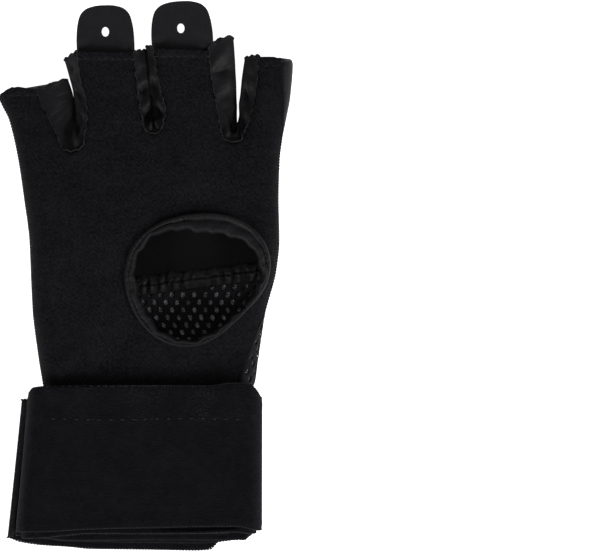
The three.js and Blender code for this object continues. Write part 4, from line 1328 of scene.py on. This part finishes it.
class GLOVE_OT_knuckle_pad(bpy.types.Operator):
    """Make the padded upper back with the finger backs, their hems and the seam band inside"""

    bl_idname = "glove.knuckle_pad"
    bl_label = "Knuckle pad"

    BLOCKS = [6, 5, 4, 12, 3, 14, 4, 4, 8]
    KNUCKLE_ROWS = 34
    FINGER_ROWS = 14
    PAD_SHEET = 2.6
    BAND_COLUMNS = (0.6, 8.55)
    BAND_ROWS = 18
    BAND_STEP = 0.45
    BAND_SHEET = 0.4
    FINE_STEPS = 400
    BAND_STITCH_SHARES = (0.05, 0.70)
    BAND_STITCH_LIFT = 3.85
    BAND_STITCH_PITCH = 2.2

    def execute(self, context):
        columns = face_columns(self.BLOCKS)
        stages = block_values([self.KNUCKLE_ROWS, self.FINGER_ROWS], 1)

        def place(i, j):
            c = columns[i]
            t = stages[j]
            points = back_face.point(c, t)
            edge = back_face.edge_distance(points)
            soft = 0.12 * rumple(points[:, 0], points[:, 1], 16, 8)
            rolled = -0.5 * (1 - smooth_step(edge, 0, 1.2))
            top = -0.6 * smooth_step(t, 2.93, 3.0)
            foot = -0.5 * (1 - smooth_step(t, 1.0, 1.03))
            inside = np.clip(np.minimum(c, 9 - c), 0, 1)
            stand = rolled + top + foot + soft * inside * 0.4 - 0.1
            return points, back_face.cloth_spot(c, t), stand

        def cut(i, j, middle):
            return in_slot(back_face, columns, stages, i, j)

        cloth = make_cloth(len(columns) - 1, len(stages) - 1, place, cut, turned=True)
        pad = add_piece("knuckle_pad", cloth, "binding")
        pad.data.materials.append(finish_for("pad"))
        thicken(pad, self.PAD_SHEET)
        pad.modifiers["Thickness"].material_offset = 1
        refine(pad)
        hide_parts("knuckle_panel")
        self.seam_band()
        add_piece("finger_hems", self.finger_hems(), "smooth")
        return {"FINISHED"}

    def seam_band(self):
        """The gathered, stitched band over the seam, on the inside."""
        depth = SEAM_BAND / (BACK_CROTCH_Y - SEAM_Y)
        fine = np.linspace(*self.BAND_COLUMNS, self.FINE_STEPS)
        line = back_face.point(fine, np.full_like(fine, 1 + depth * 0.2))
        c = np.interp(even_steps(line, self.BAND_STEP), np.arange(self.FINE_STEPS), fine)

        def place(i, j):
            up = j / self.BAND_ROWS
            t = 1 + depth * (up * 1.8 - 0.72)
            points = back_face.point(c[i], t)
            inward = -back_face.outward(c[i], t)
            across = np.sin(up * math.pi)
            x = i * self.BAND_STEP
            pleat = 0.8 * rumple(x, up * 3, 3.0, 51) + 0.6 * rumple(x, up * 6, 1.9, 52)
            pleat += 0.9 * np.sin(x * 1.5 + 4 * up + 1.6 * rumple(x, up * 4, 11.0, 53))
            ridge = 0.3 * hump(up, 0.42, 0.06) - 0.2 * hump(up, 0.52, 0.06)
            lift = 2.45 + 1.0 * np.sqrt(across) + 0.3 * pleat * across + ridge * across
            points = points + inward * lift[:, None]
            points[:, 1] += 0.45 * np.sin(i * 0.31) * up
            return points, np.stack([x, j * 0.55], -1), np.zeros(len(i))

        band = make_cloth(len(c) - 1, self.BAND_ROWS, place)
        piece = add_piece("seam_band", band, "binding")
        thicken(piece, self.BAND_SHEET)
        refine(piece)
        line_c = np.linspace(0.8, 8.4, 200)
        rows = []
        for share in self.BAND_STITCH_SHARES:
            line_t = np.full_like(line_c, 1 + depth * share)
            outward = -back_face.outward(line_c, line_t)
            line = back_face.point(line_c, line_t) + outward * self.BAND_STITCH_LIFT
            places = even_steps(line, self.BAND_STITCH_PITCH)
            outward = resample(outward, places)
            rows.append(row_of_beads(resample(line, places), outward, (0.75, 0.2, 0.2)))
        trim = add_piece("seam_band_stitches", join_rows(rows), "smooth")

    def finger_hems(self):
        """Rolled hems at the tops of the finger backs."""
        rows = []
        for low, high, past in HEM_ROLLS:
            c = np.linspace(low, high, 60)
            t = np.full_like(c, 3.0)
            line = back_face.point(c, t) - back_face.outward(c, t) * 1.5
            line[:, 1] += past - 0.3
            line[:, 2] += past + 0.3 * np.sin(c * 40)
            line = spread(line, 0.8)
            rows.append(row_of_beads(line, (0.0, 0.0, -1.0), (0.62, 0.5, 0.95), 6, 8))
        return join_rows(rows)


class GLOVE_OT_gussets(bpy.types.Operator):
    """Make the smooth, creased gussets between the fingers"""

    bl_idname = "glove.gussets"
    bl_label = "Gussets"

    SIDE_STEPS = 34
    TURN_STEPS = 22
    DOWN_STEPS = 16
    EDGE_DROP = 0.5

    def execute(self, context):
        for number, slot in enumerate(SLOTS):
            self.gusset(context.scene.glove_sizes, number, slot["name"])
        return {"FINISHED"}

    def edge_line(self, face, number, depth, set_back):
        """One edge of a gusset: at a depth under the slot's edge, set back beneath the cloth."""
        c, t = face.slot_edge(number, self.SIDE_STEPS, self.TURN_STEPS)
        spots = face.point(c, t)
        after = np.concatenate([spots[1:], spots[-1:]])
        before = np.concatenate([spots[:1], spots[:-1]])
        heading = (after - before)[:, :2]
        heading /= np.linalg.norm(heading, axis=1)[:, None]
        spots[:, 0] += heading[:, 1] * set_back
        spots[:, 1] -= heading[:, 0] * set_back
        spots[:, 2] += -depth if face.kind == "palm" else depth
        return spots

    def gusset(self, sizes, number, name):
        """One gusset, a strip from the palm's slot edge down to the back's."""
        gap = sizes.seam_gap / MM
        palm_depth = sizes.palm_cloth / MM + gap + self.EDGE_DROP
        back_depth = sizes.knuckle_cloth / MM + gap + self.EDGE_DROP
        upper = self.edge_line(palm_face, number, palm_depth, GUSSET_PALM_SETBACK)
        lower = self.edge_line(back_face, number, back_depth, GUSSET_BACK_SETBACK[number])
        last = len(upper) - 1
        distance = path_lengths(upper)

        def place(i, j):
            q = j / self.DOWN_STEPS
            points = mix(upper[i], lower[i], q[:, None])
            share = distance[i] / distance[-1]
            swell = np.zeros(len(i))
            for along, down, half_along, half_down, rise in GUSSET_FOLDS[number]:
                lean = (q - down) * 0.03 * (1 if rise > 0 else -1)
                fold = hump(share + lean, along, half_along) * hump(q, down, half_down)
                swell += rise * 1.3 * fold
            closing = Profile(*zip(*GUSSET_CLOSING[number]))(share) * hump(q, 0.84, 0.26)
            swell = swell * (0.35 + 0.65 * (1 - smooth_step(q, 0.55, 0.9))) + closing
            crumple = rumple(distance[i], q * 9, 5.0, 31 + number)
            fine = GUSSET_CRUMPLE[number] * crumple * (0.35 + 0.65 * hump(share, 0.5, 0.25))
            held = np.sin(q * math.pi) ** 0.5
            points[:, 1] += GUSSET_END_RISE[number][0] * held * (1 - smooth_step(share, 0, 0.1))
            points[:, 1] += GUSSET_END_RISE[number][1] * held * smooth_step(share, 0.9, 1)
            spots = np.stack([distance[i], q * 12], -1)
            return points, spots, (swell + fine) * held

        cloth = make_cloth(last, self.DOWN_STEPS, place)
        area = cloth_area(cloth)
        hem = self.end_hems(number, upper, lower)
        piece = add_piece(name + "_cloth", cloth, "smooth")
        thicken(piece, sizes.gusset_cloth / MM, 0.0)
        refine(piece)
        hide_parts(name)
        trim = add_piece(name + "_hem", hem, "smooth")

    def end_hems(self, number, upper, lower):
        """The small crumpled hems at both ends of a gusset, at the finger tops."""
        rows = []
        for end, rise in zip((0, -1), GUSSET_END_RISE[number]):
            share = np.linspace(0.04, 0.96, 40)[:, None]
            line = mix(upper[end], lower[end], share)
            line[:, 1] += rise * np.sin(share[:, 0] * math.pi) ** 0.5 - 0.1
            line[:, 1] += 0.35 * np.sin(share[:, 0] * 17 + end)
            line[:, 2] += 0.4 * np.sin(share[:, 0] * 11 + 2 * end)
            line = spread(line, 0.75)
            rows.append(row_of_beads(line, (0.0, 1.0, 0.3), (0.75, 0.62, 0.7), 6, 8))
        return join_rows(rows)


class GLOVE_OT_thumb_binding(bpy.types.Operator):
    """Make the gathered smooth tape that binds the thumb hole"""

    bl_idname = "glove.thumb_binding"
    bl_label = "Thumb binding"

    STEPS = 300
    SECTION_STEPS = 20
    STITCH_INSET = 1.25
    STITCH_LIFT = 1.42
    SECTION = np.array([0, 0.06, 0.13, 0.2, 0.31, 0.42, 0.5, 0.56, 0.62, 0.8, 1.0])

    def execute(self, context):
        sizes = context.scene.glove_sizes
        half = sizes.binding_cloth / MM / 2
        gap = sizes.seam_gap / MM
        palm = sizes.palm_cloth / MM

        def place(i, j):
            turn = (i % self.STEPS) / self.STEPS * 2 * math.pi
            inner = thumb_radius("inner", turn)
            outer = thumb_radius("outer", turn)
            leaf = mix(thumb_cut(turn), outer, BINDING_UNDER_SHARE)
            top = gap + half
            under = -palm - gap - half
            share = j / self.SECTION_STEPS
            edge = inner + half
            groove = mix(edge, outer, 0.62 + 0.05 * np.sin(2 * turn))
            radii = [
                outer - 0.2, outer - 0.75, outer - 1.3, groove, mix(edge, groove, 0.62), edge + 0.5,
                edge + 0.05, edge, edge + 0.45, mix(edge, leaf, 0.5), leaf,
            ]
            deep = 0.25 + 0.75 * smooth_step(np.sin(turn + 0.4), -0.3, 0.8)
            heights = [
                top - 0.1, top + 0.55, top + 0.3, top - 0.45 * deep, top + 0.35, top + 0.5,
                0.0, -0.75, under + 0.25, under, under,
            ]
            radius = self.section_value(radii, share)
            height = self.section_value(heights, share)
            gather = np.sin(turn * GATHERS) + 0.6 * np.sin(turn * (GATHERS - 8) + 1)
            gather += 0.25 * np.sin(turn * 37 + 2)
            near_edge = smooth_step(share, 0.1, 0.42) * (1 - smooth_step(share, 0.7, 1))
            radius = radius + 0.36 * gather * near_edge
            crease = np.sin(turn * 61 + 1.6 * np.sin(turn * 7))
            crease += 0.6 * np.sin(turn * 97 + share * 5)
            creased = smooth_step(share, 0.03, 0.12) * (1 - smooth_step(share, 0.5, 0.8))
            height = height + 0.035 * crease * creased
            height = height + 0.14 * gather * near_edge
            lap = smooth_step(turn, 1.80, 1.83) - smooth_step(turn, 2.10, 2.5)
            lapped = smooth_step(share, 0.05, 0.12) * (1 - smooth_step(share, 0.5, 0.6))
            height = height + 0.5 * lap * lapped
            x, y = round_thumb(radius, turn)
            slope_x = (palm_height(x + 0.1, y) - palm_height(x - 0.1, y)) / 0.2
            slope_y = (palm_height(x, y + 0.1) - palm_height(x, y - 0.1)) / 0.2
            square = np.stack([-slope_x, -slope_y, np.ones_like(x)], -1)
            square /= np.linalg.norm(square, axis=1)[:, None]
            points = np.stack([x, y, palm_height(x, y)], -1) + square * height[:, None]
            spots = np.stack([turn * 23, share * 14], -1)
            return points, spots, np.zeros(len(i))

        tape = make_cloth(self.STEPS, self.SECTION_STEPS, place)
        bmesh.ops.remove_doubles(tape, verts=tape.verts, dist=1e-6)
        piece = add_piece("binding_tape", tape, "binding")
        thicken(piece, sizes.binding_cloth / MM, 0.0)
        refine(piece)
        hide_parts("thumb_binding")
        row = self.stitches(sizes)
        stitches = add_piece("binding_stitches", row, "binding")
        return {"FINISHED"}

    def section_value(self, values, share):
        """A value round the tape's section, for a list of values at set shares of it."""
        section = self.SECTION
        values = np.stack([np.broadcast_to(value, share.shape) for value in values])
        k = np.clip(np.searchsorted(section, share, "right") - 1, 0, len(section) - 2)
        each = np.arange(len(share))
        s = (share - section[k]) / (section[k + 1] - section[k])
        return mix(values[k, each], values[k + 1, each], s)

    def stitches(self, sizes):
        """The stitch row near the tape's outer edge."""
        turn = np.linspace(0, 2 * math.pi, 400)
        x, y = round_thumb(thumb_radius("outer", turn) - self.STITCH_INSET, turn)
        line = np.stack([x, y, palm_height(x, y) + self.STITCH_LIFT], -1)
        line = spread(line, sizes.stitch_pitch / MM * 0.8)[:-1]
        return row_of_beads(line, UP, (0.65, 0.18, 0.18))


class GLOVE_OT_pull_tabs(bpy.types.Operator):
    """Make the two smooth pull tabs with their small oval holes"""

    bl_idname = "glove.pull_tabs"
    bl_label = "Pull tabs"

    HOLE_HALVES = (1.35, 1.75)
    RINGS = np.array([0.0, 0.05, 0.3, 0.6, 0.82, 0.94, 1.0])
    EDGE_WIDTH = 0.35

    def execute(self, context):
        for tab in TABS:
            self.tab(tab, context.scene.glove_sizes)
        return {"FINISHED"}

    def outline(self, half):
        """The tab's outline, from the middle of its root round and back."""
        side = spline_point(TAB_SIDE, np.linspace(0, 1, 60)) * [half / TAB_SIDE[0][0], 1]
        root = [(0, -TAB_LENGTH), (TAB_ROOT_HALF, -TAB_LENGTH)]
        shoulder = [(TAB_ROOT_HALF, -TAB_SHOULDER - 0.4), (half - 0.4, -TAB_SHOULDER)]
        right = np.concatenate([root, shoulder, side])
        left = right[:0:-1] * [-1, 1]
        return np.concatenate([right, left])

    def tab(self, tab, sizes):
        """One tab: rings of rubber from its outline in to its hole, thickened and softly edged."""
        outline = self.outline(tab["half"])
        outline = spread(np.concatenate([outline, outline[:1]]), 0.8)
        count = len(outline) - 1
        turns = np.linspace(-RIGHT_ANGLE, 3 * RIGHT_ANGLE, count + 1)
        across, along = self.HOLE_HALVES
        hole = np.stack([across * np.cos(turns), along * np.sin(turns)], -1) + tab["hole"]
        turn = math.radians(tab["turn"])

        def place(i, j):
            flat = mix(outline[i % count], hole[i % count], self.RINGS[j][:, None])
            x = tab["x"] + flat[:, 0] * math.cos(turn) - flat[:, 1] * math.sin(turn)
            y = tab["y"] + flat[:, 0] * math.sin(turn) + flat[:, 1] * math.cos(turn)
            tucked = smooth_step(np.abs(flat[:, 0]), 5, 10) * smooth_step(-flat[:, 1], 12, 17)
            bow = 0.25 * np.sin(flat[:, 1] * 0.16) - 0.12 * (flat[:, 0] / 10) ** 2
            z = TAB_TOP + bow - 0.9 * tucked
            return np.stack([x, y, z], -1), flat, np.zeros(len(i))

        rubber = make_cloth(count, len(self.RINGS) - 1, place)
        bmesh.ops.remove_doubles(rubber, verts=rubber.verts, dist=1e-6)
        piece = add_piece(tab["name"] + "_rubber", rubber, "rubber")
        thicken(piece, sizes.tab_sheet / MM)
        bevel = piece.modifiers.new("Soft edge", "BEVEL")
        bevel.width = self.EDGE_WIDTH * MM
        bevel.segments = 3
        bevel.limit_method = "ANGLE"
        bevel.harden_normals = True
        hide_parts(tab["name"])


class GLOVE_OT_wrist_band(bpy.types.Operator):
    """Make the long woven band wound flat round the wrist, with its selvedges and stitch row"""

    bl_idname = "glove.wrist_band"
    bl_label = "Wrist band"

    FLAT_CELLS = 30
    FOLD_CELLS = 5
    INNER_ROWS = 17
    EDGE_ROWS = np.array([0, 0.012, 0.03, 0.05])
    STITCHES = (-34.2, 34.8, 4.25)
    STITCH_ROW = -52.4
    LAYER_SLIT = 0.1

    def execute(self, context):
        sizes = context.scene.glove_sizes
        shares = np.concatenate([
            np.linspace(0, BAND_FOLD_SHARE, self.FOLD_CELLS, endpoint=False),
            np.linspace(BAND_FOLD_SHARE, 1 - BAND_FOLD_SHARE, self.FLAT_CELLS, endpoint=False),
            np.linspace(1 - BAND_FOLD_SHARE, 1, self.FOLD_CELLS, endpoint=False),
        ])
        shares = (np.arange(BAND_PASSES)[:, None] + shares).ravel()
        ends = [0.006, 0.015, 0.04, BAND_PASSES - 0.02, BAND_PASSES - 0.01, BAND_PASSES - 0.003]
        places = np.unique(np.concatenate([shares, ends, [BAND_PASSES]]))
        distance = path_lengths(self.point(places, np.full(len(places), 0.5), sizes))
        inner_rows = np.linspace(0.08, 0.92, self.INNER_ROWS)
        across = np.concatenate([self.EDGE_ROWS, inner_rows, 1 - self.EDGE_ROWS[::-1]])

        def place(i, j):
            points = self.point(places[i], across[j], sizes)
            edge = np.minimum(across[j], 1 - across[j])
            selvedge = 0.10 * (1 - smooth_step(edge, 0.01, 0.04)) - 0.12 * hump(edge, 0.05, 0.012)
            spots = np.stack([distance[i], across[j] * BAND_WIDTH], -1)
            return points, spots, selvedge

        cloth = make_cloth(len(places) - 1, len(across) - 1, place)
        band = add_piece("wrist_band", cloth, "band")
        thicken(band, sizes.band_cloth / MM - self.LAYER_SLIT, 0.0)
        refine(band)
        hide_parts("wrist_wrap")
        trims = [
            add_piece("band_selvedge_and_painted_end_light", self.selvedge(sizes), "selvedge"),
            add_piece("band_stitches", self.stitches(sizes), "thread"),
        ]
        return {"FINISHED"}

    def height(self, number, sizes):
        """Height of a pass's middle: even passes run under the hand and odd ones over it."""
        pitch = sizes.band_cloth / MM + BAND_LAYER_GAP
        turn = number // 2
        is_under = number % 2 == 0
        layer = np.where(is_under, BAND_BACK_LAYERS - 1 - turn, turn)
        return np.where(is_under, 0, BAND_FRONT) + layer * pitch + sizes.band_cloth / MM / 2

    def point(self, place, across, sizes):
        """A point on the middle of the band's cloth, from its pass and share, and across it."""
        number = np.clip(np.floor(place).astype(int), 0, BAND_PASSES - 1)
        share = place - number
        near = np.array(BAND_NEAR)
        far = np.array(BAND_FAR)
        from_x = mix(near[number], far[number], across)
        to_x = mix(near[number + 1], far[number + 1], across)
        height = self.height(number, sizes)
        direction = np.sign(to_x - from_x)
        is_first = number == 0
        is_last = number == BAND_PASSES - 1
        start = from_x + direction * np.where(is_first, 0, BAND_FOLD_REACH)
        end = to_x - direction * np.where(is_last, 0, BAND_FOLD_REACH)
        low = np.where(is_first, 0, BAND_FOLD_SHARE)
        high = np.where(is_last, 1, 1 - BAND_FOLD_SHARE)
        x = mix(start, end, (share - low) / (high - low))
        in_first = ~is_first & (share < BAND_FOLD_SHARE)
        in_last = ~is_last & (share > 1 - BAND_FOLD_SHARE)
        angle = np.where(in_first, share, 1 - share) / BAND_FOLD_SHARE * RIGHT_ANGLE
        other = self.height(np.where(in_first, number - 1, number + 1), sizes)
        side_x = np.where(in_first, start, end)
        way = np.where(in_first, -direction, direction)
        fold_x = side_x + way * BAND_FOLD_REACH * np.cos(angle)
        fold_z = mix((height + other) / 2, height, np.sin(angle))
        in_fold = in_first | in_last
        x = np.where(in_fold, fold_x, x)
        y = self.edge_place(number, share, across, x)
        z = height + self.ripple(x, y) * (number % 2) + self.gathers(x, y) * (number == OUTER_PASS)
        z = z + self.splay(number, x, across)
        return np.stack([x, y, np.where(in_fold, fold_z, z)], -1)

    def edge_place(self, number, share, across, x):
        """How far along the hand a point of the band lies, between its top and foot edges."""
        upper = np.interp(number + share, np.arange(len(BAND_TOP)), BAND_TOP)
        lower = np.full_like(x, BAND_FIRST_FOOT)
        for lines, edge in ((BAND_TOP_LINES, upper), (BAND_FOOT_LINES, lower)):
            for line_number, line in lines.items():
                drawn = Profile(*zip(*line))(x)
                edge[number == line_number] = drawn[number == line_number]
        return mix(upper, lower, across)

    def splay(self, number, x, across):
        """How the passes over the hand part at their feet: the outermost lifts, and the next
        one sags to a groove behind its own edge."""
        inside = smooth_step(np.minimum(x + 46, 38 - x), 0, 6)
        up_from_foot = (1 - across) * BAND_WIDTH
        lift = 0.5 * (1 - smooth_step(up_from_foot, 0, 6))
        groove = -1.9 * hump(up_from_foot, 2.1, 1.0) - 0.4 * hump(up_from_foot, 4.5, 2.0)
        groove = groove * (0.3 + 0.7 * smooth_step(x, -4, 12))
        return inside * np.select([number == OUTER_PASS, number == NEXT_PASS], [lift, groove], 0)

    def ripple(self, x, y):
        """Slow waves of the wound layers over the hand, the same in each layer."""
        middle = smooth_step(np.minimum(x + 38, 36 - x), 0, 8)
        return 0.22 * rumple(x, y, 26, 21) * middle

    def gathers(self, x, y):
        """Short upright gathers of the outermost layer, between its top edge and its stitch row."""
        reach = smooth_step(y, -53.5, -47) * smooth_step(x, -40, -33) * (1 - smooth_step(x, 2, 10))
        return 0.6 * reach * np.sin(x * 2.4 + 0.7 * np.sin(x * 0.8))

    def selvedge(self, sizes):
        """Small loops along both edges of the band, and a row across its outer end that also paints
        light onto the end strip.
        """
        fine = np.linspace(0, BAND_PASSES, 1400)
        rows = []
        for across in (0.0, 1.0):
            line = spread(self.point(fine, np.full(len(fine), across), sizes), 1.15)
            outward = (0.0, 1.0 - 2 * across, 0.0)
            rows.append(row_of_beads(line, outward, (0.66, 0.5, 0.38), 3, 5))
        # Painted light: wide beads of the lighter selvedge colour, set back onto the end strip,
        # lighten it where it lies in the fold's shade
        end = self.point(np.full(60, float(BAND_PASSES)), np.linspace(0.01, 0.99, 60), sizes)
        end = spread(end, 0.5) + [1.3, 0.0, 0.3]
        rows.append(row_of_beads(end, UP, (0.45, 1.6, 0.6)))
        return join_rows(rows)

    def stitches(self, sizes):
        """The stitch row along the outermost layer."""
        x = np.arange(*self.STITCHES)
        y = self.STITCH_ROW + 0.25 * np.sin(x * 0.11)
        z = self.height(np.full(len(x), OUTER_PASS), sizes) + self.ripple(x, y)
        z = z + sizes.band_cloth / MM / 2
        return row_of_beads(np.stack([x, y, z], -1), UP, (0.7, 0.3, 0.25))


class GLOVE_OT_stage(bpy.types.Operator):
    """Make the pale floor, the soft light and the camera straight above"""

    bl_idname = "glove.stage"
    bl_label = "Stage"

    LAMPS = {"Left softbox": (-0.85, -0.95, 0.74), "Right softbox": (1.05, -0.6, 0.72)}
    FLOOR_DROP = 0.0002

    def execute(self, context):
        settings = context.scene.glove_stage
        middle = in_frame([*VIEW_MIDDLE, 0.0])
        floor = bmesh.new()
        bmesh.ops.create_grid(floor, x_segments=1, y_segments=1, size=settings.floor_width / 2)
        mesh = bpy.data.meshes.new("Floor")
        floor.to_mesh(mesh)
        floor.free()
        mesh.materials.append(self.floor_finish())
        plane = bpy.data.objects.new("Floor", mesh)
        plane.location = (0, 0, -self.FLOOR_DROP)
        context.scene.collection.objects.link(plane)
        self.sky(context, settings.sky_light)
        for name, place in self.LAMPS.items():
            self.lamp(context, name, place, settings.lamp_power)
        camera = bpy.data.cameras.new("Camera")
        camera.sensor_width = 36.0
        camera.lens = camera.sensor_width * settings.camera_height / (VIEW_WIDTH * MM)
        camera.clip_end = 100.0
        view = bpy.data.objects.new("Camera", camera)
        view.location = (middle[0], middle[1], settings.camera_height + VIEW_PLANE * MM)
        context.scene.collection.objects.link(view)
        context.scene.camera = view
        context.scene.view_settings.view_transform = "Standard"
        return {"FINISHED"}

    def floor_finish(self):
        """A white table that lights itself a little."""
        finish = Finish("White floor")
        surface = finish.node(
            "BsdfPrincipled",
            sockets={
                "Base Color": (0.85, 0.85, 0.85, 1.0),
                "Roughness": 0.9,
                "Specular IOR Level": 0.0,
                "Emission Color": (1.0, 1.0, 1.0, 1.0),
                "Emission Strength": 1.0,
            },
        )
        finish.node("OutputMaterial", sockets={"Surface": surface})
        return finish.material

    def sky(self, context, strength):
        """Even white light from all sides."""
        world = context.scene.world or bpy.data.worlds.new("Sky")
        context.scene.world = world
        world.use_nodes = True
        light = world.node_tree.nodes["Background"]
        light.inputs["Color"].default_value = (1.0, 1.0, 1.0, 1.0)
        light.inputs["Strength"].default_value = strength

    def lamp(self, context, name, place, power):
        """A large soft lamp on the wrist's side of the glove, aimed at its middle."""
        light = bpy.data.lights.new(name, "AREA")
        light.shape = "RECTANGLE"
        light.size = 0.6
        light.size_y = 0.5
        light.energy = power
        lamp = bpy.data.objects.new(name, light)
        lamp.location = place
        lamp.rotation_euler = (-Vector(place)).to_track_quat("-Z", "Y").to_euler()
        context.scene.collection.objects.link(lamp)


STEPS = [
    GLOVE_OT_palm,
    GLOVE_OT_back_mesh,
    GLOVE_OT_knuckle_pad,
    GLOVE_OT_gussets,
    GLOVE_OT_thumb_binding,
    GLOVE_OT_pull_tabs,
    GLOVE_OT_wrist_band,
    GLOVE_OT_stage,
]


class GLOVE_PT_sidebar(bpy.types.Panel):
    """The glove's steps and settings in the sidebar"""

    bl_idname = "GLOVE_PT_sidebar"
    bl_label = "Boxing inner glove"
    bl_space_type = "VIEW_3D"
    bl_region_type = "UI"
    bl_category = "Glove"

    def draw(self, context):
        for step in STEPS:
            self.layout.operator(step.bl_idname)
        for group_name in GROUPS:
            group = getattr(context.scene, group_name)
            for name in group.__annotations__:
                self.layout.prop(group, name)


GROUPS = {"glove_sizes": GloveSizes, "glove_colours": GloveColours, "glove_stage": GloveStage}


def register():
    """Registers the settings, the steps and the panel."""
    for name, group in GROUPS.items():
        bpy.utils.register_class(group)
        setattr(bpy.types.Scene, name, bpy.props.PointerProperty(type=group))
    for step in [*STEPS, GLOVE_PT_sidebar]:
        bpy.utils.register_class(step)


def unregister():
    """Takes the panel, the steps and the settings out again."""
    for step in [GLOVE_PT_sidebar, *reversed(STEPS)]:
        bpy.utils.unregister_class(step)
    for name, group in reversed(GROUPS.items()):
        delattr(bpy.types.Scene, name)
        bpy.utils.unregister_class(group)


def main():
    """Builds the glove and its stage."""
    register()
    bpy.ops.glove.palm()
    bpy.ops.glove.back_mesh()
    bpy.ops.glove.knuckle_pad()
    bpy.ops.glove.gussets()
    bpy.ops.glove.thumb_binding()
    bpy.ops.glove.pull_tabs()
    bpy.ops.glove.wrist_band()
    bpy.ops.glove.stage()


if __name__ == "__main__":
    main()
